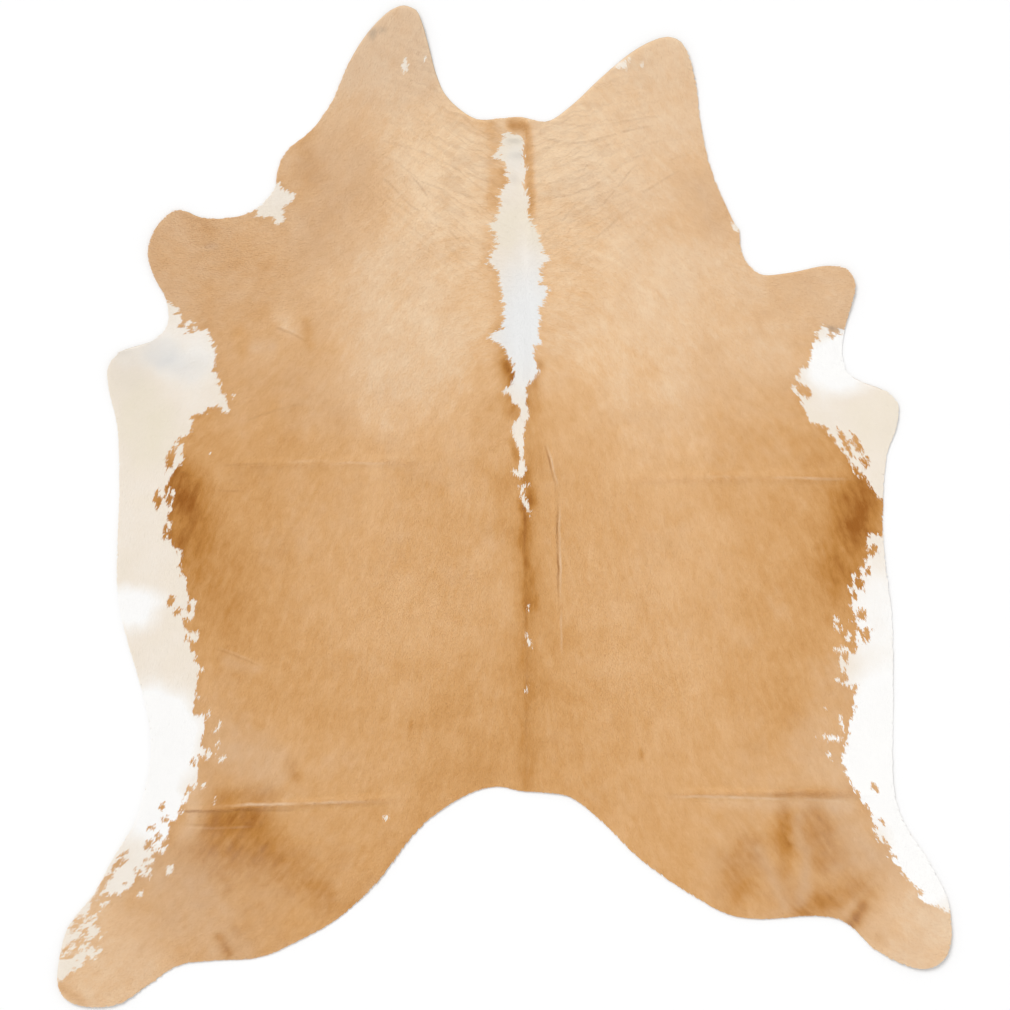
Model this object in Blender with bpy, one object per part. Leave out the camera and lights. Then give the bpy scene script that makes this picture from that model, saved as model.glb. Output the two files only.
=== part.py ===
# Cowhide rug: one tanned hide with its hair left on, lying flat with the hair side up.
# Metres, +Z up, +Y towards the neck, +X towards the right flank as seen from above.
# The origin is the middle of the hide's outline, on the surface that the hide lies on.

import math
from collections import namedtuple

import bpy
import numpy as np
from mathutils import Vector
from mathutils.geometry import delaunay_2d_cdt

# Driving dimensions
LENGTH = 2.20  # along the spine, from the longer neck lobe to the longer hind leg
LEATHER = 0.0020  # thickness of the tanned skin
COAT = 0.0020  # thickness of the short hair that lies flat on it
EDGE_ROUND = 0.0009  # rounding of the cut edge, above and below
EDGE_ANGLE = math.radians(50.0)  # a sharper turn than this is the cut edge, and is rounded

# Mesh sizes
EDGE_STEP = 0.017  # between points along the edge
FIELD_STEP = 0.056  # between points of the flat middle
CREASE_STEP = 0.034  # between points along a crease
EDGE_MARGIN = 0.020  # clear band inside the edge that holds no inner points
CREASE_GAP = 0.007  # least room between the points of two creases that meet
FIELD_GAP = 0.028  # least room between a crease's points and those of the flat middle
CREASE_ROWS = (-1.0, -0.45, 0.0, 0.45, 1.0)  # rows of points across a crease, in half widths

# Outline. A limb has a row for each section across it, from its root to near its tip: x and y where the section
# meets the edge that comes first going clockwise, then x and y where it meets the other edge.
Section = namedtuple("Section", "first_x first_y other_x other_y")
Limb = namedtuple("Limb", "sections tip")

RIGHT_NECK_LOBE = Limb(
    sections=(
        Section(0.144, 0.876, 0.483, 0.662),
        Section(0.210, 0.938, 0.452, 0.740),
        Section(0.276, 0.993, 0.430, 0.837),
        Section(0.322, 1.019, 0.419, 0.930),
    ),
    tip=((0.360, 1.029), (0.389, 1.017), (0.406, 0.982)),
)
RIGHT_FORELEG = Limb(
    sections=(
        Section(0.531, 0.532, 0.750, 0.294),
        Section(0.562, 0.508, 0.740, 0.334),
        Section(0.627, 0.512, 0.747, 0.392),
        Section(0.710, 0.527, 0.764, 0.452),
    ),
    tip=((0.752, 0.517), (0.769, 0.486)),
)
RIGHT_HIND_LEG = Limb(
    sections=(
        Section(0.862, -0.662, 0.144, -0.638),
        Section(0.880, -0.702, 0.210, -0.688),
        Section(0.905, -0.740, 0.298, -0.774),
        Section(0.934, -0.788, 0.408, -0.851),
        Section(0.955, -0.828, 0.496, -0.897),
        Section(0.972, -0.866, 0.562, -0.906),
        Section(0.978, -0.905, 0.690, -0.899),
        Section(0.980, -0.944, 0.745, -0.911),
        Section(0.970, -0.985, 0.803, -0.965),
    ),
    tip=((0.947, -1.008), (0.917, -1.015), (0.869, -1.003)),
)
LEFT_HIND_LEG = Limb(
    sections=(
        Section(-0.153, -0.677, -0.776, -0.565),
        Section(-0.208, -0.732, -0.789, -0.626),
        Section(-0.274, -0.820, -0.803, -0.680),
        Section(-0.362, -0.902, -0.860, -0.779),
        Section(-0.449, -0.952, -0.898, -0.851),
        Section(-0.537, -0.990, -0.929, -0.888),
        Section(-0.650, -0.998, -0.957, -0.928),
        Section(-0.713, -1.007, -0.970, -0.972),
        Section(-0.779, -1.051, -0.979, -1.038),
    ),
    tip=((-0.840, -1.090), (-0.900, -1.099), (-0.952, -1.088), (-0.972, -1.068)),
)
LEFT_FORELEG = Limb(
    sections=(
        Section(-0.768, 0.364, -0.500, 0.700),
        Section(-0.738, 0.395, -0.536, 0.655),
        Section(-0.740, 0.450, -0.590, 0.634),
        Section(-0.766, 0.500, -0.663, 0.632),
    ),
    tip=((-0.781, 0.552), (-0.767, 0.602), (-0.732, 0.641), (-0.704, 0.648)),
)
LEFT_NECK_LOBE = Limb(
    sections=(
        Section(-0.499, 0.722, -0.115, 0.886),
        Section(-0.478, 0.778, -0.130, 0.904),
        Section(-0.424, 0.824, -0.148, 0.945),
        Section(-0.375, 0.892, -0.166, 1.013),
        Section(-0.340, 0.975, -0.181, 1.064),
        Section(-0.300, 1.038, -0.193, 1.088),
    ),
    tip=((-0.248, 1.088), (-0.216, 1.098)),
)
NECK_EDGE = ((-0.062, 0.849), (-0.010, 0.850), (0.036, 0.854), (0.092, 0.843))
RIGHT_SHOULDER = ((0.502, 0.622), (0.514, 0.606), (0.517, 0.568))
RIGHT_ELBOW = ((0.785, 0.272), (0.832, 0.254), (0.861, 0.228), (0.860, 0.176), (0.838, 0.112))
RIGHT_FLANK = ((0.830, 0.020), (0.831, -0.085), (0.850, -0.260), (0.852, -0.420), (0.852, -0.610))
RUMP_EDGE = ((0.089, -0.629), (0.034, -0.625), (-0.010, -0.616), (-0.065, -0.626))
LEFT_FLANK = ((-0.775, -0.500), (-0.801, -0.379), (-0.830, -0.280), (-0.847, -0.190), (-0.843, 0.060))
LEFT_ELBOW = ((-0.848, 0.175), (-0.866, 0.255), (-0.868, 0.302), (-0.845, 0.336))

# Creases where the hide was folded: a low soft ridge from one end to the other. The middle of its line bows off
# the straight one by bow, towards the neck.
Crease = namedtuple("Crease", "start_x start_y end_x end_y bow half_width height")
CREASES = {
    "spine": Crease(0.042, 0.560, 0.046, -0.610, 0.000, 0.020, 0.0014),
    "beside the spine": Crease(0.106, 0.200, 0.122, -0.330, 0.000, 0.013, 0.0010),
    "left thigh": Crease(-0.735, -0.680, -0.200, -0.645, 0.004, 0.018, 0.0026),
    "right thigh": Crease(0.330, -0.636, 0.835, -0.640, 0.003, 0.018, 0.0024),
    "left belly": Crease(-0.640, 0.082, -0.150, 0.094, 0.003, 0.022, 0.0014),
    "right belly": Crease(0.240, 0.054, 0.815, 0.060, 0.002, 0.022, 0.0018),
}
CREASE_FADE = 0.2  # share of a crease's length over which each end sinks to nothing

# Places where the hide stands a little off the floor: each rises smoothly to its height at its middle.
Lift = namedtuple("Lift", "x y radius height")
LIFTS = {
    "left neck lobe": Lift(-0.212, 1.090, 0.200, 0.0060),
    "right neck lobe": Lift(0.370, 1.020, 0.190, 0.0050),
    "right foreleg": Lift(0.765, 0.490, 0.150, 0.0045),
    "right elbow": Lift(0.862, 0.205, 0.110, 0.0030),
    "right hind leg": Lift(0.955, -0.985, 0.210, 0.0060),
    "left hind leg": Lift(-0.950, -1.070, 0.230, 0.0055),
    "left elbow": Lift(-0.866, 0.300, 0.120, 0.0030),
    "left foreleg": Lift(-0.775, 0.565, 0.170, 0.0050),
}

# The edge ripples: two crossing waves that die away towards the middle. A wave has its turns to each ripple length
# along x and along y, and its start in radians.
RIPPLE_HEIGHT = 0.0020
RIPPLE_REACH = 0.075
RIPPLE_LENGTH = 0.31
Wave = namedtuple("Wave", "x_turns y_turns start")
WAVES = (Wave(1.3, 0.6, 0.0), Wave(0.5, -1.4, 1.0))

HIDE_COLOR = (0.60, 0.41, 0.25, 1.0)
HIDE_ROUGHNESS = 0.62


def clear_scene():
    for found in list(bpy.data.objects):
        bpy.data.objects.remove(found, do_unlink=True)


def limb_points(limb):
    """Edge points out along a limb's first side, round its tip and back along its other side."""
    out = [(section.first_x, section.first_y) for section in limb.sections]
    back = [(section.other_x, section.other_y) for section in reversed(limb.sections)]
    return out + list(limb.tip) + back


def edge_stations():
    """The stations of the whole edge, clockwise from the neck, in the drawing's own size."""
    stretches = (
        NECK_EDGE,
        limb_points(RIGHT_NECK_LOBE),
        RIGHT_SHOULDER,
        limb_points(RIGHT_FORELEG),
        RIGHT_ELBOW,
        RIGHT_FLANK,
        limb_points(RIGHT_HIND_LEG),
        RUMP_EDGE,
        limb_points(LEFT_HIND_LEG),
        LEFT_FLANK,
        LEFT_ELBOW,
        limb_points(LEFT_FORELEG),
        limb_points(LEFT_NECK_LOBE),
    )
    return np.array([point for stretch in stretches for point in stretch])


def smooth_loop(stations, step):
    """A centripetal Catmull-Rom curve through the stations, as points about a step apart."""
    points = []
    count = len(stations)
    for i in range(count):
        p0, p1, p2, p3 = (stations[(i + k) % count] for k in (-1, 0, 1, 2))
        t1 = math.sqrt(math.dist(p0, p1))
        t2 = t1 + math.sqrt(math.dist(p1, p2))
        t3 = t2 + math.sqrt(math.dist(p2, p3))
        pieces = max(1, round(math.dist(p1, p2) / step))
        for t in np.linspace(t1, t2, pieces, endpoint=False):
            a1 = p0 * (t1 - t) / t1 + p1 * t / t1
            a2 = p1 * (t2 - t) / (t2 - t1) + p2 * (t - t1) / (t2 - t1)
            a3 = p2 * (t3 - t) / (t3 - t2) + p3 * (t - t2) / (t3 - t2)
            b1 = a1 * (t2 - t) / t2 + a2 * t / t2
            b2 = a2 * (t3 - t) / (t3 - t1) + a3 * (t - t1) / (t3 - t1)
            points.append(b1 * (t2 - t) / (t2 - t1) + b2 * (t - t1) / (t2 - t1))
    return np.array(points)


def smooth_step(value):
    value = np.clip(value, 0.0, 1.0)
    return value * value * (3.0 - 2.0 * value)


def edge_distance(points, edge):
    """How far each point lies from the edge's nearest stretch."""
    start = edge[None, :, :]
    run = np.roll(edge, -1, axis=0)[None, :, :] - start
    across = points[:, None, :] - start
    share = np.clip((across * run).sum(2) / (run * run).sum(2), 0.0, 1.0)
    return np.linalg.norm(across - share[:, :, None] * run, axis=2).min(axis=1)


def crease_frame(crease):
    """The crease's start, its direction, the direction across it and its length."""
    start = np.array((crease.start_x, crease.start_y))
    run = np.array((crease.end_x, crease.end_y)) - start
    length = float(np.linalg.norm(run))
    along = run / length
    across = np.array((-along[1], along[0]))
    return start, along, across, length


def bow_at(crease, share):
    return crease.bow * 4.0 * share * (1.0 - share)


def height_at(points, edge):
    """How high the hide's underside lies: 0 on the floor, more on creases, at raised tips and along the edge."""
    height = np.zeros(len(points))
    for crease in CREASES.values():
        start, along, across, length = crease_frame(crease)
        share = (points - start) @ along / length
        aside = (points - start) @ across - bow_at(crease, np.clip(share, 0.0, 1.0))
        ends = smooth_step(share / CREASE_FADE) * smooth_step((1.0 - share) / CREASE_FADE)
        height += crease.height * ends * smooth_step(1.0 - np.abs(aside) / crease.half_width)
    for lift in LIFTS.values():
        away = np.hypot(points[:, 0] - lift.x, points[:, 1] - lift.y)
        height += lift.height * smooth_step(1.0 - away / lift.radius)
    rim = smooth_step(1.0 - edge_distance(points, edge) / RIPPLE_REACH)
    x, y = points.T * 2.0 * math.pi / RIPPLE_LENGTH
    swing = sum(np.sin(wave.x_turns * x + wave.y_turns * y + wave.start) for wave in WAVES) / len(WAVES)
    return height + RIPPLE_HEIGHT * rim * (1.0 + swing) / 2.0


def inside_loop(points, edge):
    """Which points lie inside the edge, by counting the edge's crossings to the right of each."""
    x, y = points[:, :1], points[:, 1:]
    next_x, next_y = np.roll(edge, -1, axis=0).T
    spans = (edge[:, 1] > y) != (next_y > y)
    rise = np.where(next_y == edge[:, 1], 1.0, next_y - edge[:, 1])
    crossing = edge[:, 0] + (y - edge[:, 1]) * (next_x - edge[:, 0]) / rise
    return (spans & (x < crossing)).sum(axis=1) % 2 == 1


def crease_rows(crease):
    """Points along a crease, in rows across it."""
    start, along, across, length = crease_frame(crease)
    shares = np.linspace(0.0, 1.0, 1 + math.ceil(length / CREASE_STEP))
    rows = []
    for row in CREASE_ROWS:
        aside = row * crease.half_width + bow_at(crease, shares)
        rows.append(start + shares[:, None] * length * along + aside[:, None] * across)
    return np.concatenate(rows)


def field_points():
    """A plain lattice of equilateral triangles over the whole hide."""
    rows = []
    row_height = FIELD_STEP * math.sqrt(3.0) / 2.0
    reach = LENGTH / 2.0
    for number, y in enumerate(np.arange(-reach, reach, row_height)):
        shift = FIELD_STEP / 2.0 * (number % 2)
        x = np.arange(-reach + shift, reach, FIELD_STEP)
        rows.append(np.column_stack([x, np.full(len(x), y)]))
    return np.concatenate(rows)


def spread_out(points, kept, gap):
    """The points that lie at least a gap from all those kept."""
    apart = np.linalg.norm(points[:, None, :] - kept[None, :, :], axis=2).min(axis=1)
    return points[apart >= gap]


def inner_points(edge):
    """The points inside the edge: rows on each crease first, then the lattice where it leaves room."""
    kept = np.empty((0, 2))
    for crease in CREASES.values():
        rows = crease_rows(crease)
        rows = rows[inside_loop(rows, edge) & (edge_distance(rows, edge) > EDGE_MARGIN)]
        if len(kept):
            rows = spread_out(rows, kept, CREASE_GAP)
        kept = np.concatenate([kept, rows])
    lattice = field_points()
    lattice = lattice[inside_loop(lattice, edge)]
    lattice = lattice[edge_distance(lattice, edge) > EDGE_MARGIN]
    return np.concatenate([kept, spread_out(lattice, kept, FIELD_GAP)])


def hide_edge():
    """The edge at real size, with the middle of its box on the origin."""
    stations = edge_stations()
    stations = stations * LENGTH / np.ptp(stations[:, 1])
    edge = smooth_loop(stations, EDGE_STEP)
    return edge - (edge.min(axis=0) + edge.max(axis=0)) / 2.0


def hide_material():
    material = bpy.data.materials.new("hide")
    material.use_nodes = True
    shader = material.node_tree.nodes["Principled BSDF"]
    shader.inputs["Base Color"].default_value = HIDE_COLOR
    shader.inputs["Roughness"].default_value = HIDE_ROUGHNESS
    shader.inputs["Metallic"].default_value = 0.0
    material.diffuse_color = HIDE_COLOR
    return material


def hide_sheet():
    """The underside as one triangulated sheet, thickened upwards and rounded at its edge."""
    edge = hide_edge()
    points = np.concatenate([edge, inner_points(edge)])
    loop = list(range(len(edge)))
    flat = [Vector(point) for point in points]
    corners, _, faces, _, _, _ = delaunay_2d_cdt(flat, [], [loop[::-1]], 1, 1e-6)
    corners = np.array([tuple(corner) for corner in corners])
    height = height_at(corners, edge)
    mesh = bpy.data.meshes.new("hide")
    mesh.from_pydata(np.column_stack([corners, height]).tolist(), [], faces)
    mesh.update()
    hide = bpy.data.objects.new("hide", mesh)
    bpy.context.scene.collection.objects.link(hide)
    thicken = hide.modifiers.new("Thickness", "SOLIDIFY")
    thicken.thickness = LEATHER + COAT
    thicken.offset = 1.0
    rounding = hide.modifiers.new("Rounded edge", "BEVEL")
    rounding.width = EDGE_ROUND
    rounding.segments = 1
    rounding.limit_method = "ANGLE"
    rounding.angle_limit = EDGE_ANGLE
    mesh.materials.append(hide_material())
    return hide


clear_scene()
hide_sheet()
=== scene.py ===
# Cowhide rug: the looks of one tanned hide with its hair left on, lying flat with the hair up.
# Metres, +Z up, +Y towards the neck, +X towards the right flank as seen from above.

import math

import bmesh
import bpy
import numpy as np
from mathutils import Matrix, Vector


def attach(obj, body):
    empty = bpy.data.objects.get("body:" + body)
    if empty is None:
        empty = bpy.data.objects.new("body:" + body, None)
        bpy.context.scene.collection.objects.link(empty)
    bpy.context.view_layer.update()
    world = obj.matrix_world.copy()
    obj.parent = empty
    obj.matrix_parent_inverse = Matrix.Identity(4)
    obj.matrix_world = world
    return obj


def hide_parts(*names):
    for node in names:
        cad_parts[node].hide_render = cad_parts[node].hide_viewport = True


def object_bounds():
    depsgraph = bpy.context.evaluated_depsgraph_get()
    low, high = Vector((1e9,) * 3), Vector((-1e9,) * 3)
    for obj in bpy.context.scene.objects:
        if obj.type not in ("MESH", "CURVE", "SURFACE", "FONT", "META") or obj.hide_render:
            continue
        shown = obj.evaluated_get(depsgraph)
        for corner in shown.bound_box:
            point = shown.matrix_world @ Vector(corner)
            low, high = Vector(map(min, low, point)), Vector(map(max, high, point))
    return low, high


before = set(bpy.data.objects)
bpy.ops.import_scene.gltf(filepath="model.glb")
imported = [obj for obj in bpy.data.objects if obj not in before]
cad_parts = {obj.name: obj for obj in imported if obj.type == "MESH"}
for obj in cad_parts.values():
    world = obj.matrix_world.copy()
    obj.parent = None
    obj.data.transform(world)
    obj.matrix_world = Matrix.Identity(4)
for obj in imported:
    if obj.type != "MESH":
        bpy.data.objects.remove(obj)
cadLow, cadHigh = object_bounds()
cm = 0.01
mm = 0.001
print("loaded the packed hide:", [round(size, 3) for size in cadHigh - cadLow])

outline = {
    "node": "hide",
    "downFacing": -0.3,  # a face whose normal is lower than this is the flesh side or its rounding
    "joinWithin": 0.01 * mm,
    "reach": 80 * mm,  # how far from the outline its distance is worked out
    "tiny": 1e-12,  # keeps a stretch of no length from dividing by nothing
}

fieldGrid = {
    "step": 2.5 * mm,
    "margin": 30 * mm,
    "lastCell": 1.001,  # keeps a point on the far edge inside the last cell
}


# The hide's outline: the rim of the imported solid's downward faces, corner after corner, counter-clockwise.
def hideOutline():
    cad = bmesh.new()
    cad.from_mesh(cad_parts[outline["node"]].data)
    bmesh.ops.remove_doubles(cad, verts=cad.verts[:], dist=outline["joinWithin"])
    cad.normal_update()
    cad.verts.index_update()
    beside = {}
    for edge in cad.edges:
        down = [face.normal.z < outline["downFacing"] for face in edge.link_faces]
        if len(down) == 2 and down[0] != down[1]:
            here, there = (vert.index for vert in edge.verts)
            beside.setdefault(here, []).append(there)
            beside.setdefault(there, []).append(here)
    before, corner = None, next(iter(beside))
    walked = []
    while corner not in walked[:1]:
        walked.append(corner)
        before, corner = corner, next(there for there in beside[corner] if there != before)
    cad.verts.ensure_lookup_table()
    loop = np.array([cad.verts[corner].co.xy for corner in walked])
    cad.free()
    ahead = np.roll(loop, -1, axis=0)
    area = (loop[:, 0] * ahead[:, 1] - ahead[:, 0] * loop[:, 1]).sum() / 2
    return loop if area > 0 else loop[::-1]


gridX = np.arange(cadLow.x - fieldGrid["margin"], cadHigh.x + fieldGrid["margin"], fieldGrid["step"])
gridY = np.arange(cadLow.y - fieldGrid["margin"], cadHigh.y + fieldGrid["margin"], fieldGrid["step"])
fieldX, fieldY = np.meshgrid(gridX, gridY)


# 3t^2 - 2t^3 with t held between 0 and 1.
def softStep(t):
    t = np.clip(t, 0.0, 1.0)
    return t * t * (3.0 - 2.0 * t)


# A lattice's value inside a cell, blended from its four corners:
# (1-u)(1-v) f00 + u(1-v) f10 + (1-u)v f01 + uv f11.
def between(lattice, i, j, u, v):
    low = lattice[j, i] * (1.0 - u) + lattice[j, i + 1] * u
    high = lattice[j + 1, i] * (1.0 - u) + lattice[j + 1, i + 1] * u
    return low * (1.0 - v) + high * v


# A field's value at any point, blended from the four grid values round it.
def valueAt(field, x, y):
    column = np.clip((x - gridX[0]) / fieldGrid["step"], 0, len(gridX) - fieldGrid["lastCell"])
    row = np.clip((y - gridY[0]) / fieldGrid["step"], 0, len(gridY) - fieldGrid["lastCell"])
    i, j = column.astype(np.int32), row.astype(np.int32)
    return between(field, i, j, column - i, row - j)


# How near the grid's points are to a place given in cm: exp(-(r/reach)^2).
def nearness(x, y, reach):
    squared = (fieldX - x * cm) ** 2 + (fieldY - y * cm) ** 2
    return np.exp(-squared / (reach * cm) ** 2)


# Area where something holds: the number of such grid points times the step squared.
def areaOf(holds):
    return float(holds.sum() * fieldGrid["step"] ** 2)


# Distance from a closed line over the grid, positive inside. For each stretch a to b it is
# |p - a - t (b - a)| with t = (p - a).(b - a) / |b - a|^2 held between 0 and 1. A point is inside if a line
# to its right meets the loop an odd number of times.
def depthInside(loop, reach):
    depth = np.full(fieldX.shape, reach)
    inside = np.zeros(fieldX.shape, bool)
    for a, b in zip(loop, np.roll(loop, -1, axis=0)):
        run = b - a
        low, high = np.minimum(a, b) - reach, np.maximum(a, b) + reach
        columns = slice(*np.searchsorted(gridX, (low[0], high[0])))
        rows = slice(*np.searchsorted(gridY, (low[1], high[1])))
        x, y = fieldX[rows, columns] - a[0], fieldY[rows, columns] - a[1]
        t = np.clip((x * run[0] + y * run[1]) / max(run @ run, outline["tiny"]), 0.0, 1.0)
        depth[rows, columns] = np.minimum(depth[rows, columns], np.hypot(x - t * run[0], y - t * run[1]))
        crossed = slice(*np.searchsorted(gridY, sorted((a[1], b[1]))))
        if crossed.stop > crossed.start:
            meetX = a[0] + (gridY[crossed] - a[1]) * run[0] / run[1]
            inside[crossed] ^= fieldX[crossed] < meetX[:, None]
    return np.where(inside, depth, -depth)


# Soft random blotches from -1 to 1, each about size across: random values on a lattice, blended with the
# soft step.
def blotches(size, seed):
    columns, rows = (fieldX - gridX[0]) / size, (fieldY - gridY[0]) / size
    i, j = columns.astype(np.int32), rows.astype(np.int32)
    lattice = np.random.default_rng(seed).uniform(-1.0, 1.0, (j.max() + 2, i.max() + 2))
    return between(lattice, i, j, softStep(columns - i), softStep(rows - j))


# Layers of blotches, each given as amount, size and seed: base plus the sum of amount times blotches.
def blotched(layers, base=0.0):
    return sum((amount * blotches(size, seed) for amount, size, seed in layers), base)


hideEdge = hideOutline()
edgeDepth = depthInside(hideEdge, outline["reach"])


# How high the hide lies over the floor. A crease is a soft ridge, a lift a tip that stands a little off
# the floor, and the rim ripples.
hideForm = {
    "leather": 2.0 * mm,
    "creases": {  # startX, startY, endX, endY, bow and half width in cm, height in mm
        "spine": (4.2, 56.0, 4.6, -61.0, 0.0, 2.0, 1.4),
        "beside the spine": (10.6, 20.0, 12.2, -33.0, 0.0, 1.1, 1.0),
        "left thigh": (-73.5, -68.0, -20.0, -64.5, 0.4, 1.5, 2.6),
        "right thigh": (33.0, -63.6, 83.5, -64.0, 0.3, 1.5, 2.4),
        "left belly": (-64.0, 8.2, -15.0, 9.4, 0.3, 1.9, 1.4),
        "right belly": (24.0, 5.4, 81.5, 6.0, 0.2, 1.9, 1.8),
    },
    "creaseFade": 0.2,  # share of a crease's length over which each end sinks to nothing
    "lifts": {  # x, y and radius in cm, height in mm
        "left neck lobe": (-21.2, 109.0, 20.0, 6.0),
        "right neck lobe": (37.0, 102.0, 19.0, 5.0),
        "right foreleg": (76.5, 49.0, 15.0, 4.5),
        "right elbow": (86.2, 20.5, 11.0, 3.0),
        "right hind leg": (95.5, -98.5, 21.0, 6.0),
        "left hind leg": (-95.0, -107.0, 23.0, 5.5),
        "left elbow": (-86.6, 30.0, 12.0, 3.0),
        "left foreleg": (-77.5, 56.5, 17.0, 5.0),
    },
    "rippleHeight": 2.0 * mm,
    "rippleReach": 75 * mm,
    "rippleLength": 0.31,
    "waves": ((1.3, 0.6, 0.0), (0.5, -1.4, 1.0)),  # turns along x and y to a ripple length, start
}


# Where points lie beside a crease: with t the share along it, s the distance to its left less the bow
# 4 b t (1 - t), and how much of the crease is left near its ends, S(t/f) S((1-t)/f), S being the soft step.
def besideCrease(crease, x, y, fade):
    startX, startY, endX, endY, bow = crease[:5]
    run = np.array((endX - startX, endY - startY)) * cm
    length = math.hypot(*run)
    alongX, alongY = run / length
    x, y = x - startX * cm, y - startY * cm
    t = (x * alongX + y * alongY) / length
    held = np.clip(t, 0.0, 1.0)
    aside = y * alongX - x * alongY - bow * cm * 4.0 * held * (1.0 - held)
    return aside, softStep(t / fade) * softStep((1.0 - t) / fade)


# Height of the hide: for each crease h S(1 - |s|/w) times what is left of it; for each lift h S(1 - r/R); and
# along the rim h S(1 - d/reach) (1 + mean of sin(ax + by + c)) / 2.
def hideHeight():
    height = np.zeros(fieldX.shape)
    for crease in hideForm["creases"].values():
        aside, ends = besideCrease(crease, fieldX, fieldY, hideForm["creaseFade"])
        halfWidth, rise = crease[5:7]
        height += rise * mm * ends * softStep(1.0 - np.abs(aside) / (halfWidth * cm))
    for x, y, radius, rise in hideForm["lifts"].values():
        away = np.hypot(fieldX - x * cm, fieldY - y * cm)
        height += rise * mm * softStep(1.0 - away / (radius * cm))
    rim = softStep(1.0 - np.abs(edgeDepth) / hideForm["rippleReach"])
    x, y = (field * 2.0 * math.pi / hideForm["rippleLength"] for field in (fieldX, fieldY))
    swing = sum(np.sin(a * x + b * y + c) for a, b, c in hideForm["waves"]) / len(hideForm["waves"])
    return height + hideForm["rippleHeight"] * rim * (1.0 + swing) / 2.0


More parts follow.
